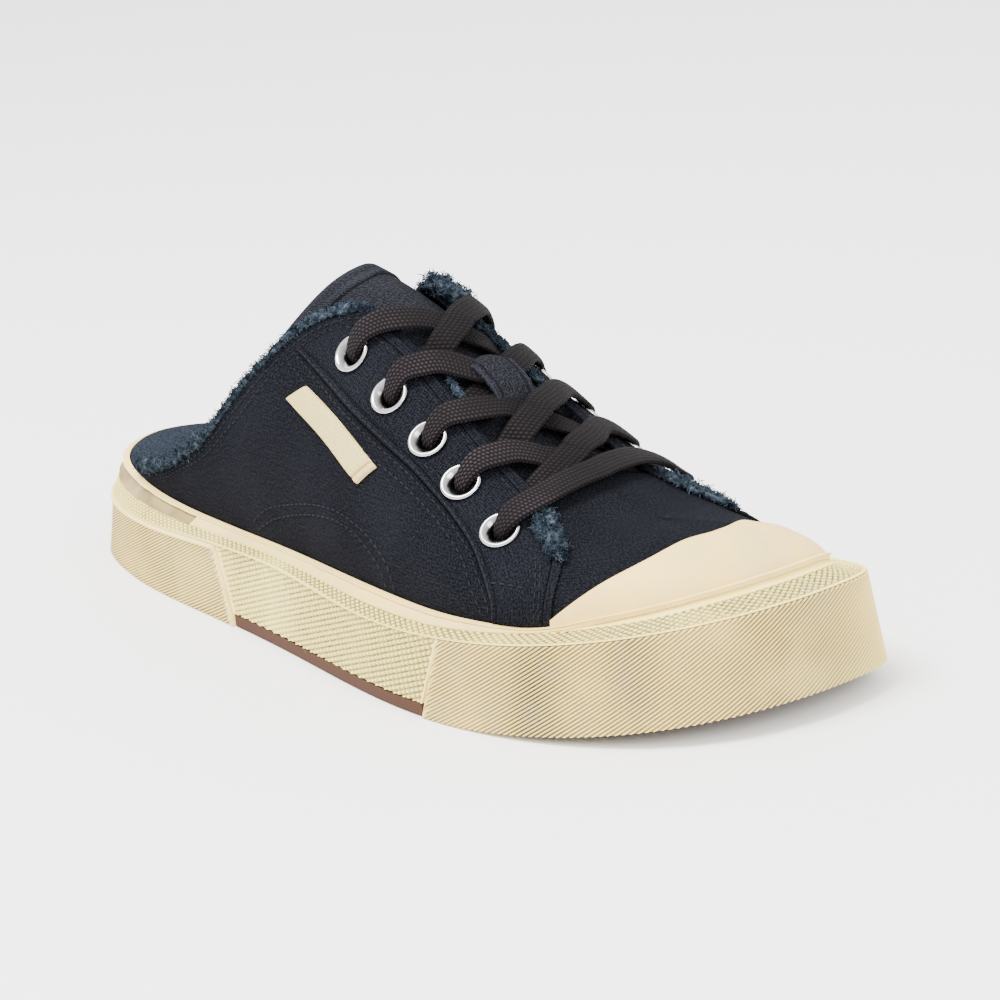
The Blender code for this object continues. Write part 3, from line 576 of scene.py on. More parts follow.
# %% The grime group
grime, grime_in, grime_out = new_group(
    "grime",
    [("Vector", "NodeSocketVector", None), ("Amount", "NodeSocketFloat", 0.5)],
    [("Smudge", "NodeSocketFloat")],
)
patches = noise_node(grime, grime_in.outputs["Vector"], 38, 5.0, 0.62)
streaks = noise_node(grime, grime_in.outputs["Vector"], 150, 4.0, 0.6)
both = math_node(grime, "MULTIPLY_ADD", streaks, 0.35, patches)
cut = math_node(grime, "SUBTRACT", 1.02, math_node(grime, "MULTIPLY", grime_in.outputs["Amount"], 0.42))
above = math_node(grime, "SUBTRACT", both, math_node(grime, "SUBTRACT", cut, 0.18))
wire(grime, math_node(grime, "MULTIPLY", above, 3.2, clamp=True), grime_out.inputs["Smudge"])
print("groups", [g.name for g in bpy.data.node_groups])


# %% [markdown]
# ## Cloth finishes
# The canvas is a black twill with a navy cast that shows best where it has worn. At this
# distance single threads are about a pixel, so colour speckle does as much as bump.

# %% Cloth materials
def start_material(name, roughness):
    material = bpy.data.materials.new(name)
    material.use_nodes = True
    tree = material.node_tree
    shader = tree.nodes["Principled BSDF"]
    shader.inputs["Roughness"].default_value = roughness
    place = tree.nodes.new("ShaderNodeTexCoord")
    return material, tree, shader, place


def place_group(tree, group, **values):
    node = tree.nodes.new("ShaderNodeGroup")
    node.node_tree = group
    for label, value in values.items():
        entry = node.inputs[label]
        if isinstance(value, (int, float)):
            entry.default_value = value
        else:
            tree.links.new(value, entry)
    return node


def add_bump(tree, shader, height, depth, strength=1.0, before=None):
    node = tree.nodes.new("ShaderNodeBump")
    node.inputs["Strength"].default_value = strength
    node.inputs["Distance"].default_value = depth
    tree.links.new(height, node.inputs["Height"])
    if before is not None:
        tree.links.new(before, node.inputs["Normal"])
    tree.links.new(node.outputs["Normal"], shader.inputs["Normal"])
    return node.outputs["Normal"]


def cloth_material(
    name, dark, light, pitch, slant, cross=0.4, bump=0.00016, speckle=0.55, gloss=0.08, flat=False
):
    """Woven cloth. A flat piece reads its weave from Object coordinates, turned to millimetres."""
    material, tree, shader, place = start_material(name, 0.95)
    shader.inputs["Specular IOR Level"].default_value = gloss
    vector = place.outputs["UV"]
    if flat:
        mapping = tree.nodes.new("ShaderNodeMapping")
        mapping.inputs["Scale"].default_value = (1000, 1000, 1000)
        wire(tree, place.outputs["Object"], mapping.inputs["Vector"])
        vector = mapping.outputs["Vector"]
    threads = place_group(tree, weave, UV=vector, Pitch=pitch, Slant=slant, Cross=cross)
    wear = range_node(tree, noise_node(tree, place.outputs["Object"], 45, 4.0), 0.35, 0.75)
    shown = math_node(tree, "MULTIPLY", threads.outputs["Height"], 0.55)
    shown = math_node(tree, "MULTIPLY_ADD", threads.outputs["Speckle"], speckle, shown)
    shown = math_node(tree, "MULTIPLY_ADD", wear, 0.2, shown, clamp=True)
    # The groove attribute darkens the cloth along seams, hems and folds (painted shade). Where it is negative,
    # it lightens raised edges (painted highlight).
    seam = tree.nodes.new("ShaderNodeAttribute")
    seam.attribute_name = "groove"
    shown = math_node(tree, "MULTIPLY", shown, math_node(tree, "SUBTRACT", 1.0, seam.outputs["Fac"]))
    wire(tree, mix_node(tree, shown, dark, light), shader.inputs["Base Color"])
    add_bump(tree, shader, threads.outputs["Height"], bump)
    return material


canvas = cloth_material(
    "canvas", (0.0003, 0.0004, 0.0008), (0.0124, 0.0130, 0.0174), 0.85, 1.0, 0.5, 0.00022, 0.75, 0.02
)
ribbed_cloth = cloth_material(
    "ribbed_cloth", (0.0006, 0.0007, 0.0012), (0.0210, 0.0213, 0.0270), 0.80, 0.0, 0.15, 0.00022, 0.75, 0.02
)
lining = cloth_material(
    "lining", (0.0010, 0.0016, 0.0030), (0.0230, 0.0290, 0.0400), 0.9, 1.0, 0.5, 0.0002, 0.9, 0.02, True
)
cotton = cloth_material("cotton", (0.50, 0.36, 0.12), (0.82, 0.67, 0.30), 0.5, 0.0, 1.0, 0.0001, 0.5)
stitching = cloth_material("stitching", (0.004, 0.0045, 0.006), (0.031, 0.032, 0.038), 0.5, 1.0)


def thread_material():
    """Loose threads: denim blue, paler towards some tips."""
    material, tree, shader, place = start_material("thread", 0.95)
    shader.inputs["Specular IOR Level"].default_value = 0.05
    tone = range_node(tree, noise_node(tree, place.outputs["Object"], 640, 3.0), 0.36, 0.7)
    base = mix_node(tree, tone, (0.008, 0.013, 0.019), (0.053, 0.070, 0.090))
    patch = range_node(tree, noise_node(tree, place.outputs["Object"], 110, 2.0), 0.48, 0.75)
    wire(tree, mix_node(tree, patch, base, (0.008, 0.011, 0.017)), shader.inputs["Base Color"])
    return material


thread = thread_material()


def lace_material():
    """A flat knitted lace: rows of small pale stitches along a brown-black band."""
    material, tree, shader, place = start_material("lace", 0.85)
    shader.inputs["Specular IOR Level"].default_value = 0.12
    parts = tree.nodes.new("ShaderNodeSeparateXYZ")
    wire(tree, place.outputs["UV"], parts.inputs[0])
    row = math_node(tree, "DIVIDE", parts.outputs["Y"], 1.18)
    odd = math_node(tree, "MULTIPLY", math_node(tree, "FLOOR", row), 0.5)
    lag = math_node(tree, "MULTIPLY", math_node(tree, "FRACT", row), 0.3)
    beat = math_node(tree, "ADD", math_node(tree, "DIVIDE", parts.outputs["X"], 1.09), odd)
    beat = math_node(tree, "ADD", beat, lag)
    ridge = math_node(tree, "SINE", math_node(tree, "MULTIPLY", math_node(tree, "FRACT", row), math.pi))
    dash = math_node(tree, "SINE", math_node(tree, "MULTIPLY", math_node(tree, "FRACT", beat), math.pi))
    bead = math_node(tree, "MULTIPLY", ridge, dash)
    mask = range_node(tree, bead, 0.25, 0.85)
    worn = range_node(tree, noise_node(tree, place.outputs["Object"], 60, 3.0), 0.35, 0.68)
    spot = tree.nodes.new("ShaderNodeSeparateXYZ")
    wire(tree, place.outputs["Object"], spot.inputs[0])
    # Painted shade: the pale stitches dim from full strength at Y -0.028 to 0.16 at Y 0 and beyond, on the
    # medial side.
    medial_painted_shade = range_node(tree, spot.outputs["Y"], -0.028, 0.000, 1.0, 0.16)
    pale = math_node(tree, "MULTIPLY", mask, math_node(tree, "MULTIPLY_ADD", worn, 0.55, 0.40))
    pale = math_node(tree, "MULTIPLY", pale, medial_painted_shade)
    tone = mix_node(tree, pale, (0.0022, 0.0013, 0.0018), (0.037, 0.026, 0.031))
    wire(tree, tone, shader.inputs["Base Color"])
    add_bump(tree, shader, bead, 0.0004)
    return material


lace_finish = lace_material()

# %% [markdown]
# ## Rubber finishes
# The sole is cream rubber that has picked up brown-grey dirt in every groove and a few grey
# smudges on its smooth parts. The groove attribute of each mesh says where the dirt sits.


# %% Rubber materials
def rubber_material(name, clean, dirt, groove_dirt, smudge, roughness=0.55, gloss=0.35):
    material, tree, shader, place = start_material(name, roughness)
    shader.inputs["Specular IOR Level"].default_value = gloss
    soil = place_group(tree, grime, Vector=place.outputs["Object"], Amount=smudge)
    groove = tree.nodes.new("ShaderNodeAttribute")
    groove.attribute_name = "groove"
    tone = range_node(tree, noise_node(tree, place.outputs["Object"], 22, 3.0), 0.3, 0.7)
    warm = tuple(c * f for c, f in zip(clean, (0.97, 0.93, 0.84)))
    base = mix_node(tree, tone, clean, warm)
    patch = range_node(tree, noise_node(tree, place.outputs["Object"], 26, 3.0), 0.36, 0.6, 0.6, 1.0)
    hollow = math_node(tree, "MULTIPLY", groove.outputs["Fac"], patch)
    hollow = math_node(tree, "MULTIPLY", hollow, groove_dirt, clamp=True)
    base = mix_node(tree, hollow, base, dirt)
    stain = math_node(tree, "MULTIPLY", soil.outputs["Smudge"], 0.4)
    base = mix_node(tree, stain, base, (0.42, 0.37, 0.30))
    wire(tree, base, shader.inputs["Base Color"])
    grain = noise_node(tree, place.outputs["Object"], 700, 3.0)
    add_bump(tree, shader, grain, 0.00006)
    return material


CREAM = (0.95, 0.76, 0.27)
ribbed_rubber = rubber_material("ribbed_rubber", CREAM, (0.042, 0.034, 0.020), 1.0, 0.34)
knurled_rubber = rubber_material("knurled_rubber", (0.98, 0.82, 0.25), (0.085, 0.070, 0.026), 1.0, 0.08)
smooth_rubber = rubber_material("smooth_rubber", (0.93, 0.72, 0.24), (0.085, 0.055, 0.022), 1.0, 0.46)
cap_rubber = rubber_material("cap_rubber", (0.91, 0.64, 0.18), (0.4, 0.33, 0.22), 0.8, 0.58, 0.5)
gum = rubber_material("gum", (0.066, 0.034, 0.024), (0.04, 0.022, 0.014), 0.5, 0.05, 0.75, 0.08)


def steel_material():
    material, tree, shader, place = start_material("steel", 0.22)
    shader.inputs["Metallic"].default_value = 1.0
    worn = range_node(tree, noise_node(tree, place.outputs["Object"], 260, 4.0), 0.4, 0.75)
    bright = mix_node(tree, worn, (0.50, 0.50, 0.51), (0.34, 0.33, 0.31))
    # Painted shade: the groove attribute, set in the eyelet's dish, turns the metal nearly black towards the
    # throat.
    painted_dish_shade = tree.nodes.new("ShaderNodeAttribute")
    painted_dish_shade.attribute_name = "groove"
    metal = mix_node(tree, painted_dish_shade.outputs["Fac"], bright, (0.055, 0.050, 0.048))
    wire(tree, metal, shader.inputs["Base Color"])
    wire(tree, range_node(tree, worn, 0.0, 1.0, 0.16, 0.36), shader.inputs["Roughness"])
    return material


steel = steel_material()
print("materials", len(bpy.data.materials))

# %% [markdown]
# ## Ribbed wraps
# The heel and the forefoot are wrapped in rubber with fine slanting ribs. A straight grid would
# cut the ribs into steps, so the columns of the grid lean with the ribs: each column runs from
# the floor to the top edge at the ribs' own slope, and only the groove columns are pushed in.

# %% Wrap the heel and the forefoot
HEEL_WRAP_FOOT, HEEL_WRAP_TOP = 0.376, 0.347
TOE_WRAP_FOOT, TOE_WRAP_TOP = 0.727, 0.752
RIB_RISE = 0.00095
RIB_DEPTH = 0.00060
WRAP_THICKNESS = 0.0026


def rib_profile(phase):
    """Depth of the groove, 0 on a rib to 1 in a groove, over one pitch."""
    phase = np.mod(phase, 1.0)
    return np.clip(1.55 - np.abs(phase - 0.5) / 0.25, 0, 1)


# Darker patches round the wraps, stronger towards the floor.
HEEL_DARK_PATCHES = [(0.345, 0.060, 0.10, 0.7), (0.12, 0.08, 0.04, 0.5), (-0.20, 0.10, 0.06, 0.5)]
TOE_DARK_PATCHES = [
    (0.785, 0.022, 0.11, 0.3), (0.86, 0.018, 0.07, 0.2), (0.995, 0.045, 0.12, 0.4), (1.15, 0.06, 0.08, 0.5)
]


def ribbed_wrap(name, start, end, slope, lip, border, dark_patches, replaced):
    """start and end are the places at the floor and the top. slope is the ribs' rise over run.
    A dark patch is a place, its breadth, how dark it is and how much it keeps to the floor."""
    pitch = RIB_RISE / slope / HALF
    samples = 5
    height = 0.021
    reach = height / slope / HALF
    low, high = min(start) - reach, max(end) + pitch
    count = int((high - low) / pitch * samples)
    base = low + np.arange(count) * pitch / samples
    levels = np.r_[np.linspace(0, 0.94, 13), 0.95, 0.965, 0.985, 1.0] if lip else np.linspace(0, 1, 14)
    place = base[None, :] + levels[:, None] * reach
    first = start[0] + (start[1] - start[0]) * levels[:, None]
    final = end[0] + (end[1] - end[0]) * levels[:, None]
    inside = np.clip(np.minimum(place - first, final - place) * HALF / border, 0, 1)
    phase = np.broadcast_to(np.arange(count) / samples, place.shape)
    place = np.clip(place, first, final)
    keep = np.any((place > first) & (place < final), axis=0)
    edge = np.where(keep)[0]
    wanted = slice(max(edge[0] - 1, 0), min(edge[-1] + 2, count))
    place, inside, phase = place[:, wanted], inside[:, wanted], phase[:, wanted]
    depth = rib_profile(phase) * np.where(inside >= 1, 1.0, 0.0)
    if lip:
        depth = depth * (levels[:, None] < 0.945)
        bead = np.where(levels > 0.945, np.sin((levels - 0.94) / 0.06 * math.pi), 0)[:, None]
    else:
        bead = np.zeros((len(levels), 1))
    bead = np.maximum(bead, np.where((inside < 1) & (inside > 0), 0.7, 0) * (lip > 0))
    floor_z = spring(place)
    top = wrap_height(place)
    z = floor_z + (top - floor_z) * levels[:, None]
    inset = lean(place) * levels[:, None] + depth * RIB_DEPTH - bead * lip
    outer = ring(place, inset, z)
    inner = ring(place, lean(place) * levels[:, None] + WRAP_THICKNESS, z)
    patch_darkness = np.zeros_like(place)
    for centre, breadth, amount, low_down in dark_patches:
        patch_darkness += amount * np.exp(-(((place - centre) / breadth) ** 2)) * (1 - low_down * levels[:, None])
    soil = np.clip(depth * (0.75 + 2.0 * patch_darkness) + patch_darkness, 0, 1)
    piece = walled_sheet(name, outer, inner,soil, 55)
    return finish_piece(piece, ribbed_rubber, "rubber", replaced)


heel_lateral = (place_at(HEEL_WRAP_FOOT), place_at(HEEL_WRAP_TOP))
heel_medial = (place_at(HEEL_WRAP_FOOT, True) - 2, place_at(HEEL_WRAP_TOP, True) - 2)
toe_lateral = (place_at(TOE_WRAP_FOOT), place_at(TOE_WRAP_TOP))
toe_medial = (place_at(TOE_WRAP_FOOT, True), place_at(TOE_WRAP_TOP, True))
ribbed_wrap("wrap_heel_ribbed", heel_medial, heel_lateral, 0.43, 0.0004, 0.0012, HEEL_DARK_PATCHES, "heel_wrap")
ribbed_wrap("wrap_forefoot_ribbed", toe_lateral, toe_medial, 0.50, 0.0, 0.0002, TOE_DARK_PATCHES, "forefoot_wrap")

# %% [markdown]
# ## Knurled panels and the diamond band
# Between the wraps the wall is sunk and knurled, and above them a band of flat diamonds runs
# round the shoe. Both are the same idea: two families of grooves that cross.


# %% Panels and band
def crossed_grooves(u, v, pitch_u, pitch_v, slope_a, slope_b, width):
    """Depth where two families of slanting grooves cross a flat pattern."""
    first = np.abs(np.mod((v - u * slope_a) / pitch_v, 1.0) - 0.5) * 2
    second = np.abs(np.mod((u - v * slope_b) / pitch_u, 1.0) - 0.5) * 2
    return np.clip(np.maximum(first, second) - (1 - width), 0, width) / width


def knurled_panel(name, start, end, replaced):
    levels = np.linspace(0, 1, 50)
    count = 190
    first = start[0] + (start[1] - start[0]) * levels[:, None]
    final = end[0] + (end[1] - end[0]) * levels[:, None]
    place = first + (final - first) * np.linspace(0, 1, count)[None, :]
    low = OUTSOLE_THICKNESS + GAP
    z = low + (wrap_height(place) - low) * levels[:, None]
    u = place * HALF
    depth = crossed_grooves(u, z, 0.0021, 0.00145, 0.33, -0.25, 0.58)
    margin = np.minimum(place - first, final - place) * HALF
    depth = np.where(margin < 0.0009, 0, depth)
    inset = 0.0006 + lean(place) * levels[:, None] + depth * 0.0008
    outer = ring(place, inset, z)
    inner = ring(place, lean(place) * levels[:, None] + 0.0028, z)
    piece = walled_sheet(name, outer, inner,depth, 60)
    return finish_piece(piece, knurled_rubber, "rubber", replaced)


step = GAP / LENGTH
knurled_panel(
    "panel_lateral_knurled",
    tuple(p + step for p in heel_lateral),
    tuple(p - step for p in toe_lateral),
    "panel_lateral",
)
knurled_panel(
    "panel_medial_knurled",
    tuple(p + step for p in toe_medial),
    tuple(p - step + 2 for p in heel_medial),
    "panel_medial",
)


DIAMOND_PITCH, DIAMOND_STRETCH, DIAMOND_DEPTH = 0.0017, 0.68, 0.00038


def cup_sole():
    """The cup: hidden wall, ledge under the wraps, patterned shoulder and inner floor."""
    count = 1500
    place = np.linspace(0, 2, count + 1)
    wrap = wrap_height(place) + GAP
    band = np.maximum(band_height(place), wrap + GAP)
    low = OUTSOLE_THICKNESS + 2 * GAP
    back = WRAP_THICKNESS + 0.0010
    rows = [
        (back + 0.02 + place * 0, spring(place) + low, 0),
        (back + lean(place) * low / wrap, spring(place) + low, 0),
        (back + lean(place), wrap, 0),
        (lean(place) + 0.0003, wrap, 0),
    ]
    for share in np.linspace(0, 1, 31):
        inset = lean(place) + 0.0003 + (band_inset(place) - lean(place) - 0.0003) * share
        height = wrap + (band - wrap) * share
        rows.append((inset, height, share))
    points, grooves = [], []
    u = place * HALF
    breadth = np.maximum(np.hypot(band_inset(place) - lean(place), band - wrap), 0.0034)
    toe = np.clip((share_of(place) - 0.84) / 0.10, 0, 1)
    for inset, height, share in rows:
        depth = np.zeros_like(place)
        if 0.04 < share < 0.98:
            v = share * breadth
            first = np.abs(np.mod((u * DIAMOND_STRETCH + v) / DIAMOND_PITCH, 1.0) - 0.5) * 2
            second = np.abs(np.mod((u * DIAMOND_STRETCH - v) / DIAMOND_PITCH, 1.0) - 0.5) * 2
            depth = np.clip(np.maximum(first, second) - 0.45, 0, 0.40) / 0.40
            depth = np.where(share > 1 - 0.30 * toe, 0.0, depth)
        sunk = depth * DIAMOND_DEPTH
        points.append(ring(place, inset + sunk, height - sunk))
        grooves.append(depth)
    for inset, height in (
        (canvas_inset(place) - GAP, band),
        (canvas_inset(place) - GAP, rim_height(place) - CUP_DEPTH),
        (canvas_inset(place) + 0.02, rim_height(place) - CUP_DEPTH),
    ):
        points.append(ring(place, inset, height))
        grooves.append(np.zeros_like(place))
    return np.array(points), np.array(grooves)


cup_points, cup_grooves = cup_sole()


def tube_from_rings(name, points, groove, smooth):
    """Closed loops joined in order, with flat caps, as one body."""
    points, groove = points[:, :-1], groove[:, :-1]
    rings, count = points.shape[:2]
    grid = np.arange(rings * count).reshape(rings, count)
    nxt = np.roll(grid, -1, axis=1)
    faces = np.stack([grid[:-1], nxt[:-1], nxt[1:], grid[1:]], -1).reshape(-1, 4).tolist()
    half = count // 2
    for base, turned in ((0, True), ((rings - 1) * count, False)):
        for j in range(half):
            quad = [base + j, base + j + 1, base + (count - j - 1) % count, base + (count - j) % count]
            ids = list(dict.fromkeys(quad))
            if len(ids) >= 3:
                faces.append(ids[::-1] if turned else ids)
    piece = new_piece(name, points.reshape(-1, 3), faces, smooth)
    mark_groove(piece, groove)
    return piece


finish_piece(
    tube_from_rings("cup_sole_patterned", cup_points, cup_grooves, 60), knurled_rubber, "rubber", "cupsole"
)

# %% [markdown]
# ## Foxing tape
# A thin smooth tape covers the join of canvas and sole. It is one strip that starts and ends on
# the outer side of the heel, where a sunken, dirt-stained stretch of it meets the rest in a torn
# step. It is thin at the waist, higher round the heel, and its upper edge rolls outwards.

# %% Lay the tape
TAPE_SEAM = 0.292
TAPE_SINK = 0.0005
TOE_OVERLAP = 0.0013
TAPE_PROFILE = [
    (0, 0.0), (0.10, 0.0003), (0.18, 0.0001), (0.5, 0.0),
    (0.78, 0.0), (0.86, 0.0006), (0.94, 0.0008), (1.0, 0.0004),
]


def foxing():
    place = np.r_[np.linspace(TAPE_SEAM - 2 + 0.0005, -0.001, 700), np.linspace(0, TAPE_SEAM, 140)]
    toe = np.clip((np.abs(np.mod(place, 2) - 1) - 0.16) / 0.08, 0, 1)
    toe = 1 - toe * toe * (3 - 2 * toe)
    foot_z = np.maximum(band_height(place), wrap_height(place) + 2 * GAP) + GAP * 0.3
    top_z = np.maximum(rim_height(place), foot_z + GAP) + TOE_OVERLAP * toe
    low, high = band_inset(place) - 0.0004 * toe, rim_inset(place) - 0.0007 * toe
    heel = np.clip((place + 0.30) / 0.05, 0, 1)
    ripple = 0.00012 * np.sin(place * 150) * np.sin(place * 37 + 1)
    rows, inner, soil = [], [], []
    for share, stand in TAPE_PROFILE:
        sunk = heel * TAPE_SINK * (0.1 < share < 0.8)
        inset = low + (high - low) * share - stand * (1 - 0.5 * toe) + sunk - ripple
        rows.append(ring(place, inset, foot_z + (top_z - foot_z) * share))
        inner.append(ring(place, high + TAPE + place * 0, foot_z + (top_z - foot_z) * share))
        stain = 0.9 * heel * (share < 0.8) + 0.10
        stain = np.where(np.abs(place - TAPE_SEAM) * HALF < 0.0008, 1.0, stain)
        soil.append(np.where(share > 0.9, 0.0, stain))
    outer = np.array(rows)
    return walled_sheet("tape_foxing", outer, np.array(inner),np.array(soil), 50)


finish_piece(foxing(), smooth_rubber, "rubber", "foxing_tape")

# %% [markdown]
# ## Toe cap
# The cap is a moulded rubber shell glued over the canvas, a little rounded at its rear edge.

# %% Toe cap
Cap = namedtuple("Cap", "at turn")
CAP = [Cap(0.000, 58.0), Cap(0.085, 55.0), Cap(0.130, 43.0), Cap(0.165, 30.0), Cap(0.211, 5.0)]
cap_curve = curve_through(CAP, "turn")
CAP_REACH = CAP[-1].at
CAP_PROFILE = [(s, 0.0015) for s in np.linspace(0, 0.95, 22)] + [(0.975, 0.0014), (0.992, 0.0009), (1.0, 0.0004)]


def toe_cap():
    place = np.linspace(1 - CAP_REACH, 1 + CAP_REACH, 130)
    edge = cap_curve(np.abs(place - 1))
    outer, inner = [], []
    for share, lift_by in CAP_PROFILE:
        turn_by = 0.3 + (edge - 0.3) * share
        outer.append(skin(place, turn_by, lift_by))
        inner.append(skin(place, turn_by, 0.0002))
    outer = np.array(outer)
    return walled_sheet("toe_cap_rubber", outer, np.array(inner),outer[..., 0] * 0, 60)


finish_piece(toe_cap(), cap_rubber, "rubber", "toe_cap")

# %% [markdown]
# ## Canvas upper
# One layer of canvas makes the quarters and the vamp. Its edges are cut raw. The cloth isn't
# drum-tight: shallow ripples run down from the facings, and it puckers where it meets the tape.


# %% The canvas shell
def cloth_ripple(place, turn_by):
    """Small swells of the cloth, in metres."""
    wave = np.sin(place * 46 + turn_by * 0.09) * np.sin(turn_by * 0.11 + place * 9)
    fine_wave = np.sin(place * 118 + turn_by * 0.05) * np.exp(-turn_by / 9)
    return 0.00022 * wave + 0.00010 * fine_wave


def canvas_shell():
    place = np.linspace(HEEL_COLUMN + 0.005, 2 - HEEL_COLUMN - 0.005, 420)
    top = brim_turn(place)
    low_z = rim_height(place) - 0.0020
    outer = [ring(place, canvas_inset(place), low_z)]
    inner = [ring(place, canvas_inset(place) + CANVAS, low_z)]
    for share in np.linspace(0, 1, 44):
        turn_by = top * share
        fade = np.clip((90 - turn_by) / 20, 0, 1)
        swell = cloth_ripple(place, turn_by) * fade
        outer.append(skin(place, turn_by, swell))
        inner.append(skin(place, turn_by, swell - CANVAS))
    outer = np.array(outer)
    return walled_sheet("canvas_upper", outer, np.array(inner),None, 60)


upper_piece = finish_piece(canvas_shell(), canvas, "canvas", "upper")

# %% [markdown]
# ## Facings
# A second layer of canvas carries the eyelets and ends in the front edge of each quarter.

# %% Facings
Facing = namedtuple("Facing", "at outer_place outer_turn inner_place inner_turn")
FACING = [
    Facing(0, 0.436, 45.4, 0.497, 62.5),
    Facing(1, 0.480, 42.5, 0.522, 67.5),
    Facing(2, 0.520, 40.5, 0.555, 69.5),
    Facing(3, 0.568, 40.5, 0.590, 69.5),
    Facing(4, 0.610, 41.0, 0.620, 69.0),
    Facing(5, 0.650, 39.5, 0.655, 68.0),
    Facing(6, 0.680, 36.0, 0.688, 67.5),
    Facing(7, 0.698, 31.5, 0.717, 65.5),
    Facing(8, 0.710, 26.0, 0.746, 60.5),
    Facing(9, 0.720, 20.0, 0.768, 52.0),
    Facing(10, 0.727, 14.0, 0.782, 38.0),
    Facing(11, 0.731, 9.0, 0.788, 20.0),
    Facing(12, 0.732, 1.0, 0.788, 1.0),
]
facing_curves = {name: curve_through(FACING, name) for name in Facing._fields[1:]}
MEDIAL_FACING = 0.93
FACING_TOP = 0.0010
# The second table gives the groove value across a facing. Positive values are painted shade at the foot of the
# seams and edges; negative values are painted highlight on their raised tops.
SEAM_ACROSS = (0.0, 0.012, 0.03, 0.05, 0.08, 0.10, 0.14, 0.85, 0.865, 0.88, 0.91, 0.95, 0.985, 1.0)
SEAM_PAINTED_LIGHT = (0.95, 0.95, -0.7, -0.5, 0.0, 0.5, 0.0, 0.0, 0.85, -0.6, 0.0, 0.0, -0.7, 0.4)


def facing_line(across, count=90):
    """Places and turns along a facing, 0 on its outer seam to 1 on its throat edge."""
    along = np.linspace(0, 12, count)
    place = facing_curves["outer_place"](along) * (1 - across) + facing_curves["inner_place"](along) * across
    turn_by = facing_curves["outer_turn"](along) * (1 - across) + facing_curves["inner_turn"](along) * across
    return place, turn_by


def facing(name, medial, replaced):
    outer, inner, seam = [], [], []
    for across in np.r_[SEAM_ACROSS[:6], np.linspace(0.14, 0.82, 15), SEAM_ACROSS[7:]]:
        place, turn_by = facing_line(across)
        if medial:
            place, turn_by = 2 - place, turn_by * MEDIAL_FACING
        edge = min(across, 1 - across)
        stand = FACING_TOP - 0.0004 * math.exp(-edge * 70)
        throat_seam = 0.0003 * math.exp(-((across - 0.865) / 0.012) ** 2)
        outer_seam = 0.0002 * math.exp(-((across - 0.10) / 0.02) ** 2)
        stand -= throat_seam + outer_seam
        swell = cloth_ripple(place, turn_by)
        outer.append(skin(place, turn_by, swell + stand))
        inner.append(skin(place, turn_by, swell + 0.0001))
        # Painted shade and painted highlight along the seams of the facing.
        tone = np.interp(across, SEAM_ACROSS, SEAM_PAINTED_LIGHT)
        seam.append(np.full(len(place), tone))
    outer, inner, seam = np.array(outer), np.array(inner), np.array(seam)
    if medial:
        outer, inner = outer[:, ::-1], inner[:, ::-1]
    piece = walled_sheet(name, outer, inner,seam, 60)
    return finish_piece(piece, canvas, "canvas", replaced)


facing_pieces = [
    facing("facing_lateral_canvas", False, "facing_lateral"),
    facing("facing_medial_canvas", True, "facing_medial"),
]

# %% [markdown]
# ## Tongue
# The tongue is a wide flap of the same cloth with a folded hem along its arched top.

# %% Tongue and keeper
TONGUE_FRONT, TONGUE_TOP, TONGUE_DROP = 0.735, 0.445, 0.052
TONGUE_DEPTH = CANVAS + 0.0006 + GAP


def tongue_piece():
    outer, inner, seam = [], [], []
    for along in np.r_[np.linspace(0, 0.915, 44), 0.925, 0.932, 0.94, 0.95, 0.965, 0.98, 0.99, 1.0]:
        edge = 54.0 + (36.0 - 54.0) * along
        swing = np.linspace(edge, 180 - edge, 140)
        top = TONGUE_TOP - TONGUE_DROP * ((swing - 90) / 45) ** 2
        place = TONGUE_FRONT + (top - TONGUE_FRONT) * along
        to_side = np.abs(swing - 90) - (90 - edge - 4)
        hem = np.where((to_side > 0) | (along > 0.935), 0.0007, 0.0)
        swell = 0.0002 * np.sin(place * 60) * np.sin(swing * 0.12)
        deep = TONGUE_DEPTH + GAP * 2 * (1 - along)
        outer.append(over(place, swing, hem + swell - deep))
        inner.append(over(place, swing, swell - deep - 0.0018))
        # Painted shade along the hem's step and its seam line. Painted highlight on the rolled top edge and on a
        # strip just inside the hem.
        line = np.where((np.abs(to_side) < 0.7) | (0.93 < along < 0.936), 0.8, 0.0)
        seam.append(np.where((along > 0.985) | ((0.937 < along < 0.952) & (to_side < 0)), -0.6, line))
    outer = np.array(outer)
    return walled_sheet("tongue_cloth", outer, np.array(inner),np.array(seam), 50)


finish_piece(tongue_piece(), ribbed_cloth, "canvas", "tongue")

KEEPER_ENDS = (0.646, 0.584)
KEEPER_SWINGS = (81.0, 100.0)
KEEPER_THICKNESS = 0.0008
KEEPER_LIFT = np.array([
    (0, -0.0018), (0.12, -0.0010), (0.28, 0.0022), (0.42, 0.0040),
    (0.60, 0.0044), (0.80, 0.0041), (0.93, 0.0022), (1, -0.0014),
])


def keeper_piece():
    outer, inner, seam = [], [], []
    for along in np.linspace(0, 1, 34):
        swing = np.linspace(*KEEPER_SWINGS, 24)
        bow = 0.003 * ((swing - 91) / 9) ** 2
        place = KEEPER_ENDS[0] + (KEEPER_ENDS[1] - KEEPER_ENDS[0]) * along + bow * along
        lift_by = np.interp(along, KEEPER_LIFT[:, 0], KEEPER_LIFT[:, 1]) + 0 * swing
        outer.append(over(place, swing, lift_by))
        inner.append(over(place, swing, lift_by - KEEPER_THICKNESS))
        # Painted highlight along both long edges of the tab, and a painted shade line a little inside them.
        edge = np.minimum(swing - KEEPER_SWINGS[0], KEEPER_SWINGS[1] - swing)
        seam.append(np.where(edge < 0.9, -0.6, np.where(np.abs(edge - 2.6) < 0.5, 0.6, 0.0)))
    outer = np.array(outer)
    return walled_sheet("lace_keeper_tab", outer, np.array(inner),np.array(seam), 50)


finish_piece(keeper_piece(), ribbed_cloth, "canvas", "lace_keeper")

# %% [markdown]
# ## Label tab
# A short cream tape with its ends folded under, sewn to the outer quarter and left plain.

# %% Label tab
LABEL = np.array([(0.432, 33.7), (0.457, 38.9), (0.569, 33.6), (0.549, 25.8)])


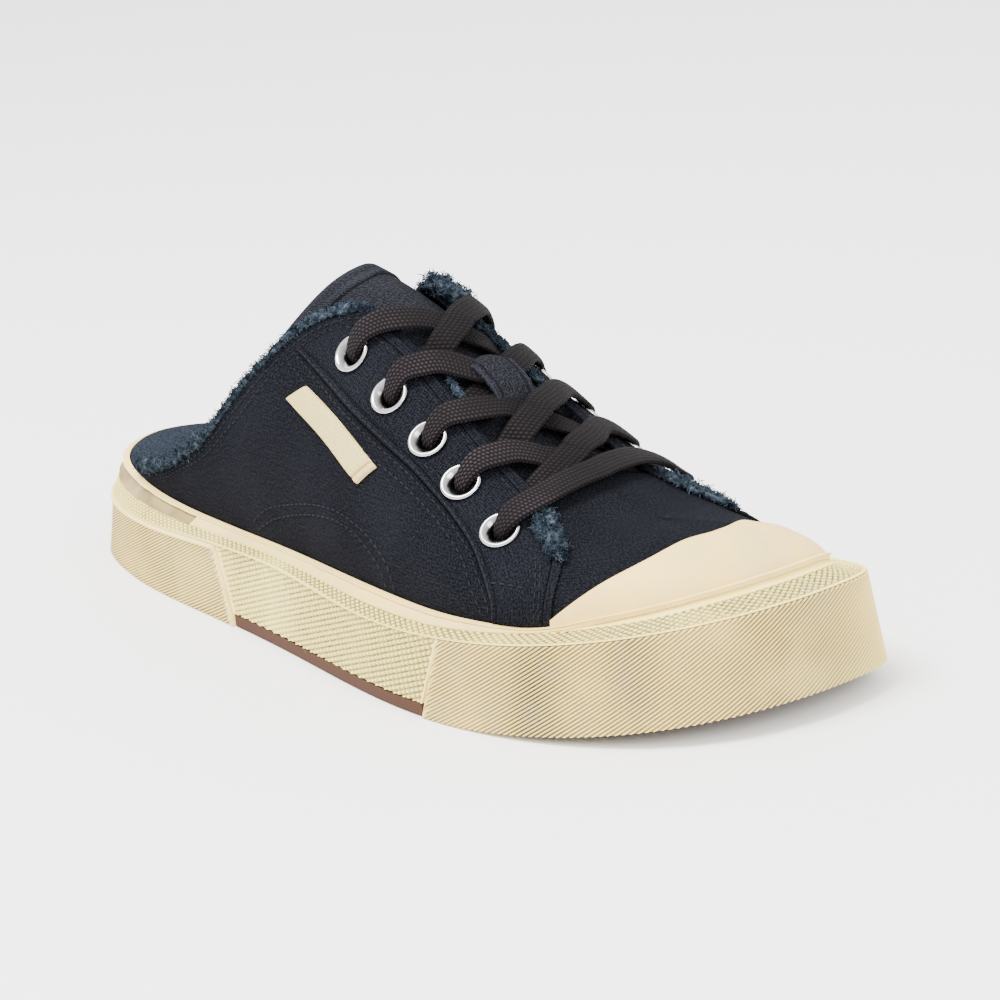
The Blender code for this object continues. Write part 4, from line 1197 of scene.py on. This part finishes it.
def label_piece():
    outer, inner, seam = [], [], []
    along = np.r_[0, 0.008, 0.02, np.linspace(0.04, 0.92, 24), 0.932, 0.942, 0.952, 0.965, 0.98, 0.992, 1.0]
    for down in np.r_[0, 0.04, np.linspace(0.1, 0.9, 9), 0.96, 1.0]:
        high = LABEL[1] + (LABEL[2] - LABEL[1]) * along[:, None]
        low = LABEL[0] + (LABEL[3] - LABEL[0]) * along[:, None]
        line = low + (high - low) * down
        edge = np.minimum(np.minimum(along, 1 - along) * 45, min(down, 1 - down) * 9)
        fold = np.exp(-(((along - 0.942) / 0.009) ** 2))
        puff = 0.0012 - 0.0006 * np.exp(-edge * 6) + 0.00015 * np.sin(along * 9) - 0.0006 * fold
        outer.append(skin(line[:, 0], line[:, 1], puff))
        inner.append(skin(line[:, 0], line[:, 1], 0.0001))
        # The fold line is darkened: painted shade in the crease.
        seam.append(0.9 * fold)
    outer = np.array(outer)
    return walled_sheet("label_tab_cotton", outer, np.array(inner),np.array(seam), 60)


finish_piece(label_piece(), cotton, "tape", "label_tab")

# %% [markdown]
# ## Eyelets
# An eyelet is spun from thin metal: a rolled rim and a throat that dives into the hole. A circle
# is extruded along that profile with edit-mode operators, and the finished ring is copied. The
# cloth under each ring is punched through with a Boolean, so that the lace has a real hole.

# %% Spin one eyelet
EYELETS = [
    (0.505, 54.0, 47.4), (0.558, 53.1, 46.4), (0.610, 52.7, 45.4), (0.656, 50.2, 43.6), (0.711, 44.5, 39.8)
]
PUNCH_RADIUS = 0.0034
MEDIAL_SINK = 0.0004
RIM_PROFILE = [
    (5.15, -0.1), (5.30, 0.35), (5.18, 0.75), (4.85, 0.96), (4.5, 0.93), (4.05, 0.65),
    (3.6, 0.28), (3.15, -0.10), (2.7, -0.55), (2.42, -1.15), (2.36, -2.2),
]


def spin_eyelet():
    bpy.ops.object.select_all(action="DESELECT")
    bpy.ops.mesh.primitive_circle_add(vertices=40, radius=RIM_PROFILE[0][0] / 1000)
    pattern = bpy.context.object
    bpy.ops.object.mode_set(mode="EDIT")
    bpy.ops.mesh.select_all(action="SELECT")
    for (radius, height), (wider, higher) in zip(RIM_PROFILE, RIM_PROFILE[1:]):
        bpy.ops.mesh.extrude_region_move(TRANSFORM_OT_translate={"value": (0, 0, (higher - height) / 1000)})
        scale = wider / radius
        bpy.ops.transform.resize(value=(scale, scale, 1), center_override=(0, 0, 0))
    bpy.ops.mesh.select_all(action="SELECT")
    bpy.ops.mesh.normals_make_consistent(inside=False)
    bpy.ops.object.mode_set(mode="OBJECT")
    solid = pattern.modifiers.new("metal", "SOLIDIFY")
    solid.thickness = 0.0003
    solid.offset = -1
    bpy.ops.object.modifier_apply(modifier=solid.name)
    bpy.ops.object.shade_smooth()
    # Painted shade in the dish, darker towards the throat, kept in the groove attribute.
    painted_shade_in_dish = pattern.data.attributes.new("groove", "FLOAT", "POINT")
    for vertex, value in zip(pattern.data.vertices, painted_shade_in_dish.data):
        deep = min(max((4.6 - vertex.co.xy.length * 1000) / 1.7, 0), 1)
        value.value = 0.9 * deep
    return pattern


pattern = spin_eyelet()


def seat_matrix(place, turn_by, offset):
    """Frame of a point on the upper: X towards the toe, Z outwards."""
    normal = Vector(last_normal(np.array(place), np.array(turn_by)))
    along = Vector(last_point(place + 0.01, turn_by) - last_point(place - 0.01, turn_by)).normalized()
    across = normal.cross(along).normalized()
    along = across.cross(normal)
    spot = Vector(skin(np.array(place), np.array(turn_by), np.array(offset)))
    return Matrix.Translation(spot) @ Matrix((along, across, normal)).transposed().to_4x4()


for number, (place, turn_by, medial_turn) in enumerate(EYELETS, 1):
    for label, where in (("lateral", (place, turn_by)), ("medial", (2 - place, medial_turn))):
        copy = pattern.copy()
        copy.data = pattern.data.copy()
        copy.name = f"eyelet_ring_{label}_{number}"
        bpy.context.scene.collection.objects.link(copy)
        height = FACING_TOP if label == "lateral" else FACING_TOP - MEDIAL_SINK
        copy.data.transform(seat_matrix(*where, height))
        finish_piece(copy, steel, "steel", f"eyelet_{label}_{number}")
bpy.data.objects.remove(pattern)


# %% Punch the cloth
def punch(cloth, seats):
    """Cuts a round hole through a cloth piece at every seat."""
    bpy.ops.object.select_all(action="DESELECT")
    bpy.ops.mesh.primitive_cylinder_add(vertices=28, radius=PUNCH_RADIUS, depth=0.010)
    cutter = bpy.context.object
    rod = bmesh.new()
    for seat in seats:
        start = len(rod.verts)
        rod.from_mesh(cutter.data)
        rod.verts.ensure_lookup_table()
        bmesh.ops.transform(rod, matrix=seat, verts=rod.verts[start:])
    rod.to_mesh(cutter.data)
    rod.free()
    cut = cloth.modifiers.new("punch", "BOOLEAN")
    cut.operation = "DIFFERENCE"
    cut.solver = "EXACT"
    cut.object = cutter
    bpy.context.view_layer.objects.active = cloth
    bpy.ops.object.modifier_apply(modifier=cut.name)
    bpy.data.objects.remove(cutter)
    print(cloth.name, "punched", len(cloth.data.polygons), "faces")


lateral_seats = [seat_matrix(p, t, 0.0) for p, t, _ in EYELETS]
medial_seats = [seat_matrix(2 - p, t, 0.0) for p, _, t in EYELETS]
punch(facing_pieces[0], lateral_seats)
punch(facing_pieces[1], medial_seats)
punch(upper_piece, lateral_seats + medial_seats)

# %% [markdown]
# ## Lace
# The lace comes up through each eyelet, bunched by the hole, spreads flat over the throat and
# dives under the opposite edge towards the next eyelet. A strand is a list of points on the
# shoe, smoothed into a curve, along which an oval section is carried.

# %% Lace helpers
LACE_WIDTH, LACE_THICKNESS = 0.0078, 0.0015


def smooth_path(points, count):
    """Catmull-Rom curve through rows of numbers."""
    points = np.array(points, float)
    padded = np.vstack([2 * points[0] - points[1], points, 2 * points[-1] - points[-2]])
    at = np.linspace(0, len(points) - 1.000001, count)
    low = at.astype(int)
    t = (at - low)[:, None]
    a, b, c, d = (padded[low + k] for k in range(4))
    return 0.5 * (2 * b + (c - a) * t + (2 * a - 5 * b + 4 * c - d) * t**2 + (3 * b - a - 3 * c + d) * t**3)


def lace_strand(name, stations, replaced=()):
    """stations are rows of place, swing, offset, width share and thickness share."""
    rows = smooth_path(stations, 72)
    centre = over(rows[:, 0], rows[:, 1], rows[:, 2])
    outward = unit(over(rows[:, 0], rows[:, 1], rows[:, 2] + 0.001) - centre)
    ahead = unit(np.gradient(centre, axis=0))
    across = unit(np.cross(outward, ahead))
    normal = np.cross(ahead, across)
    run_length = np.r_[0, np.cumsum(np.linalg.norm(np.diff(centre, axis=0), axis=1))]
    angles = np.linspace(0, 2 * math.pi, 25)
    wide = np.sign(np.cos(angles)) * np.abs(np.cos(angles)) ** 0.55
    thick = np.sign(np.sin(angles)) * np.abs(np.sin(angles)) ** 0.8
    half_w = rows[:, 3:4] * LACE_WIDTH / 2
    half_t = rows[:, 4:5] * LACE_THICKNESS / 2
    points = (
        centre[:, None, :]
        + across[:, None, :] * (half_w * wide)[..., None]
        + normal[:, None, :] * (half_t * thick)[..., None]
    )
    count, size = points.shape[:2]
    size -= 1
    piece = new_piece(name, points[:, :-1].reshape(-1, 3), tube_faces(count, size))
    layer = piece.data.uv_layers.new(name="cloth")
    breadth = np.broadcast_to(wide * LACE_WIDTH / 2, (count, size + 1))
    u = np.broadcast_to(run_length[:, None], (count, size + 1))
    uv = np.stack([u, breadth], -1) * 1000
    values = []
    for i in range(count - 1):
        for j in range(size):
            values += [uv[i, j], uv[i + 1, j], uv[i + 1, j + 1], uv[i, j + 1]]
    values += [uv[0, j] for j in range(size)] + [uv[count - 1, j] for j in range(size)][::-1]
    layer.data.foreach_set("uv", np.array(values, np.float32).ravel())
    print(name, "length", round(float(run_length[-1]) * 1000), "mm")
    return finish_piece(piece, lace_finish, "cord", *replaced)


# %% Thread the lace
INSIDE_HOLE = [(1.0, -0.0030, 0.44, 2.0), (-1.0, 0.0009, 0.54, 2.1)]
LATERAL_OVER = {
    1: [
        (0.510, 61.0, 0.0033), (0.518, 67.5, 0.0031), (0.529, 74.0, 0.0026), (0.538, 80.5, 0.0018),
        (0.548, 87.0, 0.0008), (0.560, 95.0, 0.0002), (0.568, 104.0, 0.0),
    ],
    2: [
        (0.560, 61.0, 0.0033), (0.569, 68.0, 0.0031), (0.578, 74.0, 0.0028), (0.590, 79.5, 0.0022),
        (0.602, 84.5, 0.0022), (0.613, 93.0, 0.0022), (0.621, 103.0, 0.0004),
    ],
    3: [
        (0.612, 61.0, 0.0033), (0.620, 68.5, 0.0031), (0.627, 75.0, 0.0028), (0.632, 81.5, 0.0020),
        (0.638, 87.0, 0.0008), (0.648, 95.0, 0.0002), (0.656, 104.0, 0.0),
    ],
    4: [
        (0.658, 58.5, 0.0033), (0.664, 66.0, 0.0031), (0.669, 72.0, 0.0024), (0.676, 77.5, 0.0012),
        (0.683, 82.5, 0.0002), (0.692, 91.0, -0.0004), (0.700, 101.0, -0.0004),
    ],
}
MEDIAL_OVER = {
    1: [
        (0.520, 117.0, 0.0034), (0.542, 104.0, 0.0040), (0.556, 92.0, 0.0038),
        (0.564, 82.0, 0.0028), (0.567, 76.5, 0.0004),
    ],
    2: [
        (0.576, 117.0, 0.0032), (0.594, 106.0, 0.0026), (0.605, 96.0, 0.0004),
        (0.611, 86.0, 0.0), (0.613, 77.0, -0.0006),
    ],
    3: [
        (0.618, 117.0, 0.0031), (0.636, 104.0, 0.0038), (0.648, 91.0, 0.0038),
        (0.656, 81.0, 0.0026), (0.659, 75.5, 0.0002),
    ],
    4: [
        (0.662, 117.0, 0.0030), (0.680, 105.0, 0.0034), (0.691, 92.0, 0.0030),
        (0.697, 82.0, 0.0014), (0.699, 75.0, -0.0002),
    ],
}
FRONT_BAR = [
    (0.713, 51.0, 0.0032), (0.716, 58.0, 0.0035), (0.719, 66.0, 0.0034), (0.720, 74.0, 0.0034),
    (0.720, 82.0, 0.0033), (0.720, 90.0, 0.0033), (0.714, 104.0, 0.0033), (0.706, 117.0, 0.0032),
    (0.706, 127.0, 0.0030),
]
BUNCHED = [(0.88, 1.30), (1.0, 1.08)]


def out_of_eyelet(number, medial):
    """The first stations of a strand, from inside the hole to its rim."""
    place, lateral_turn, medial_turn = EYELETS[number - 1]
    swing, sign = (180 - medial_turn, 1) if medial else (lateral_turn, -1)
    rows = [(place, swing + sign * ahead, offset, w, t) for ahead, offset, w, t in INSIDE_HOLE]
    return rows + [(place + 0.001, swing - 6.0, 0.0024, 0.98, 1.1)] if medial else rows


def spread(stations):
    """Adds the width and thickness of the lace, which is bunched near its eyelet."""
    shares = BUNCHED + [(1.0, 1.0)] * len(stations)
    return [(*station, *share) for station, share in zip(stations, shares)]


def dive(stations, medial_edge):
    """The last stations of a strand, under the edge of the far flap."""
    place = stations[-1][0]
    far = 180 - float(brim_turn(np.array(2 - place))) if medial_edge else float(brim_turn(np.array(place)))
    sign = 1 if medial_edge else -1
    under_edge = (place + 0.002, far - sign, -0.0014, 1.0, 1.0)
    return [under_edge, (place + 0.003, far + sign * 6, -0.0030, 0.95, 1.0)]


for number in range(1, 5):
    lateral, medial = LATERAL_OVER[number], MEDIAL_OVER[number]
    path = out_of_eyelet(number, False) + spread(lateral) + dive(lateral, True)
    lace_strand(f"lace_lateral_{number}", path, (f"lace_cross_{number}",))
    path = out_of_eyelet(number, True) + spread(medial) + dive(medial, False)
    lace_strand(f"lace_medial_{number}", path)

bar = spread(FRONT_BAR)
bar[-2:] = [(*station, *share) for station, share in zip(FRONT_BAR[-2:], BUNCHED[::-1])]
bar = out_of_eyelet(5, False) + bar + out_of_eyelet(5, True)[::-1]
lace_strand("lace_front_bar", bar, ("lace_bar",))

# %% [markdown]
# ## Stitches
# Every seam is sewn with a thick thread that shows as a row of short dashes. One stitch is
# modelled as a small rounded bead, then laid along each line at an even spacing.

# %% Stitch rows
STITCH_PITCH, STITCH_LENGTH, STITCH_RADIUS = 0.0026, 0.0018, 0.00026


def bead_pattern():
    """One stitch as points and faces, along X."""
    bpy.ops.object.select_all(action="DESELECT")
    bpy.ops.mesh.primitive_uv_sphere_add(segments=6, ring_count=5, radius=1.0, rotation=(0, math.pi / 2, 0))
    bead = bpy.context.object
    bpy.ops.object.transform_apply(location=False, rotation=True, scale=False)
    points = np.array([v.co for v in bead.data.vertices])
    faces = [list(face.vertices) for face in bead.data.polygons]
    bpy.data.objects.remove(bead)
    points = points * (STITCH_LENGTH / 2, STITCH_RADIUS, STITCH_RADIUS)
    return points, faces


BEAD_POINTS, BEAD_FACES = bead_pattern()


def stitch_row(name, lines, offset):
    """Stitches along lines, each an array of places and one of turns."""
    points, faces = [], []
    for place, turn_by in lines:
        place, turn_by = np.asarray(place, float), np.asarray(turn_by, float)
        centre = skin(place, turn_by, offset + cloth_ripple(place, turn_by))
        length = np.r_[0, np.cumsum(np.linalg.norm(np.diff(centre, axis=0), axis=1))]
        at = np.arange(STITCH_PITCH / 2, length[-1], STITCH_PITCH)
        spots, ahead, back = (
            np.stack([np.interp(at + step, length, centre[:, k]) for k in range(3)], 1)
            for step in (0, 0.0003, -0.0003)
        )
        way = unit(ahead - back)
        normal = last_normal(np.interp(at, length, place), np.interp(at, length, turn_by))
        across = unit(np.cross(normal, way))
        for spot, x, y, z in zip(spots, way, across, normal):
            base = len(points) * len(BEAD_POINTS)
            points.append(spot + BEAD_POINTS[:, :1] * x + BEAD_POINTS[:, 1:2] * y + BEAD_POINTS[:, 2:] * z)
            faces += [[c + base for c in face] for face in BEAD_FACES]
    return finish_piece(new_piece(name, np.vstack(points), faces), stitching, "canvas")


def both_sides(line):
    place, turn_by = line
    return [line, (2 - place, turn_by * MEDIAL_FACING)]


seam_in = facing_line(0.05)
seam_out = facing_line(-0.06)
seam_far = facing_line(-0.20)
throat_line = facing_line(0.80)
FRONT_ROWS = [
    [(0.726, 21.0), (0.744, 22.5), (0.762, 22.5)],
    [(0.758, 38.0), (0.770, 22.5), (0.774, 2.5)],
    [(0.762, 38.5), (0.774, 23.0), (0.778, 4.0)],
]
front_lines = []
for row in FRONT_ROWS:
    line = smooth_path(row, 40)
    front_lines += both_sides((line[:, 0], line[:, 1]))
throat_line = tuple(row[:62] for row in throat_line)
stitch_row("stitches_facing", both_sides(seam_in) + both_sides(throat_line) + front_lines, FACING_TOP + 0.0001)
stitch_row("stitches_quarter", both_sides(seam_out) + both_sides(seam_far), 0.0001)

ARC_OUTER = [
    (0.380, 3.4), (0.405, 7.6), (0.445, 10.9), (0.487, 13.8), (0.525, 15.4),
    (0.555, 15.2), (0.581, 13.1), (0.602, 8.5), (0.611, 1.5),
]
ARC_INNER = [
    (0.386, 1.5), (0.410, 5.2), (0.447, 8.6), (0.487, 11.4), (0.522, 12.9),
    (0.550, 12.6), (0.572, 10.4), (0.590, 6.4), (0.598, 1.5),
]
arcs = []
for arc in (ARC_OUTER, ARC_INNER):
    line = smooth_path(arc, 120)
    arcs += [(line[:, 0], line[:, 1]), (2 - line[:, 0], line[:, 1])]
stitch_row("stitches_arc", arcs, 0.0001)

collar_place = np.linspace(0.20, 0.49, 120)
collar_lines = []
for down in (3.4, 6.2):
    for place in (collar_place, 2 - collar_place):
        brim_line = brim_turn(place)
        collar_lines.append((place, brim_line - down * np.clip(brim_line / 30, 0.3, 1)))
stitch_row("stitches_collar", collar_lines, 0.0001)

# %% [markdown]
# ## Frayed edges
# The raw edges have let go of their threads. Each frayed edge is a lumpy roll with hundreds of
# short curled threads standing out of it, placed by a seeded random generator so that every
# run gives the same shoe.

# %% Fray helpers
dice = np.random.default_rng(11)


def curled_threads(roots, heads, length, radius):
    """A curled three-sided thread at each root. Returns points and faces."""
    count, steps = len(roots), 6
    head = unit(heads + dice.normal(0, 0.45, (count, 3)))
    bend = dice.normal(0, 1, (count, 3))
    bend = unit(bend - head * np.sum(bend * head, axis=1)[:, None])
    third = np.cross(head, bend)[:, None, :]
    long = length * dice.uniform(0.5, 1.3, (count, 1, 1))
    curl = dice.uniform(1.2, 4.2, (count, 1, 1))
    t = np.linspace(0, 1, steps)[None, :, None]
    head, bend = head[:, None, :], bend[:, None, :]
    centre = roots[:, None, :] + long / curl * (np.sin(curl * t) * head + (1 - np.cos(curl * t)) * bend)
    side_way = np.cos(curl * t) * bend - np.sin(curl * t) * head
    thin = radius * (1 - 0.4 * t)
    angles = [2 * math.pi * k / 3 for k in range(3)]
    points = np.stack([centre + thin * (side_way * math.cos(a) + third * math.sin(a)) for a in angles], 2)
    grid = np.arange(count * steps * 3).reshape(count, steps, 3)
    nxt = np.roll(grid, -1, axis=2)
    faces = np.stack([grid[:, :-1], nxt[:, :-1], nxt[:, 1:], grid[:, 1:]], -1).reshape(-1, 4).tolist()
    faces += grid[:, 0].tolist() + grid[:, -1, ::-1].tolist()
    return points.reshape(-1, 3), faces


THREAD_RADIUS = 0.00016


def frayed_edge(name, line, offset, size, threads, length, replaced=(), flat=0.8):
    """A lumpy roll along a line of places and turns, with threads curling out of it."""
    place, turn_by = line
    centre = skin(place, turn_by, offset)
    normal = last_normal(place, turn_by)
    way = unit(np.gradient(centre, axis=0))
    across = np.cross(normal, way)
    count, size_ring = len(place), 11
    lumps = 1 + 0.35 * dice.normal(0, 1, (count, size_ring)).clip(-1.6, 1.6)
    lumps = (lumps + np.roll(lumps, 1, 0) + np.roll(lumps, 1, 1)) / 3
    taper = np.clip(np.minimum(np.arange(count), np.arange(count)[::-1]) / 5, 0.25, 1)
    rings = []
    for k in range(size_ring):
        angle = 2 * math.pi * k / size_ring
        reach = (size * lumps[:, k] * taper)[:, None]
        rings.append(centre + reach * (normal * math.cos(angle) * flat + across * math.sin(angle)))
    points = np.stack(rings, 1)
    faces = tube_faces(count, size_ring)
    row = dice.integers(0, count, threads)
    around = dice.normal(0, 2.2, threads).round().astype(int) % size_ring
    reach_in = dice.uniform(0.3, 1.0, (threads, 1))
    out_way = points[row, around] - centre[row]
    roots = centre[row] + out_way * reach_in + way[row] * dice.normal(0, 0.0006, (threads, 1))
    more, more_faces = curled_threads(roots, unit(out_way), length, THREAD_RADIUS)
    start = count * size_ring
    faces += [[c + start for c in face] for face in more_faces]
    piece = new_piece(name, np.vstack([points.reshape(-1, 3), more]), faces)
    bm = bmesh.new()
    bm.from_mesh(piece.data)
    bmesh.ops.recalc_face_normals(bm, faces=bm.faces)
    bm.to_mesh(piece.data)
    bm.free()
    return finish_piece(piece, thread, "thread", *replaced)


# %% Fray the collar, the throat corners and the quarter fronts
COLLAR_PLACES = (0.150, 0.200, 0.290, 0.330, 0.400, 0.440, 0.500)
COLLAR_SIZES = (0.0015, 0.0017, 0.0015, 0.0008, 0.0008, 0.0014, 0.0016)
THREAD_LENGTH = 0.0019
FRONT = np.array([(0.722, 62.5), (0.735, 58.5), (0.750, 53.5), (0.765, 48.0), (0.776, 43.5)])

collar = np.linspace(0.150, 0.500, 160)
collar_size = np.interp(collar, COLLAR_PLACES, COLLAR_SIZES)
lift = collar_size * 1000 - 0.4
for side_name, place, threads in (("lateral", collar, 2600), ("medial", 2 - collar, 2400)):
    line = (place, brim_turn(place) + lift)
    name, replaced = f"fray_collar_{side_name}_threads", (f"fray_collar_{side_name}",)
    frayed_edge(name, line, 0.0, collar_size, threads, THREAD_LENGTH, replaced)

tip = np.linspace(0.496, 0.526, 24)
frayed_edge("fray_tip_medial", (2 - tip, 76 - (tip - 0.496) * 300), 0.0022, 0.0029, 1300, THREAD_LENGTH)
edge = np.linspace(0.530, 0.615, 44)
frayed_edge("fray_throat_medial", (2 - edge, brim_turn(2 - edge) - 0.8), 0.0006, 0.0011, 700, THREAD_LENGTH)
edge = np.linspace(0.590, 0.612, 14)
frayed_edge("fray_throat_lateral", (edge, brim_turn(edge) + 1.5), 0.0006, 0.0011, 300, 0.0013)

front = smooth_path(FRONT, 34)
leaf = 0.0006 + 0.0026 * np.sin(np.linspace(0.15, 0.92, 34) * math.pi) ** 0.7
front_lines = both_sides((front[:, 0], front[:, 1]))
for side_name, line, threads in zip(("lateral", "medial"), front_lines, (1100, 1000)):
    name, replaced = f"fray_front_{side_name}_threads", (f"fray_front_{side_name}",)
    frayed_edge(name, line, 0.0012, leaf, threads, THREAD_LENGTH, replaced, flat=0.36)

# %% [markdown]
# ## Foot bed and outsole
# The foot bed is a dark cloth over foam, dished a little where the heel sits. The gum outsole
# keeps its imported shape, which already has the lugs, and only gets a better finish.


# %% Foot bed
def foot_bed():
    count = 240
    place = np.linspace(0, 2, count + 1)
    behind = np.clip((share_of(place) - 0.08) / 0.03, 0, 1)
    inset = canvas_inset(place) + behind * (CANVAS + 0.0006)
    low = rim_height(place) - CUP_DEPTH + GAP
    heel = np.clip((0.35 - share_of(place)) / 0.20, 0, 1)
    top = low + 0.0048 + 0.0032 * heel * heel * (3 - 2 * heel)
    steps = ((0, None), (0, -0.0008), (0.0006, -0.0002), (0.0018, 0.0), (0.0060, 0.0004), (0.0140, 0.0006))
    rows = [ring(place, inset + step, low if drop is None else top + drop) for step, drop in steps]
    points = np.array(rows)
    return tube_from_rings("foot_bed_cloth", points, points[..., 0] * 0, 60)


finish_piece(foot_bed(), lining, "lining", "insole")
nodes["outsole"].data.materials.clear()
nodes["outsole"].data.materials.append(gum)
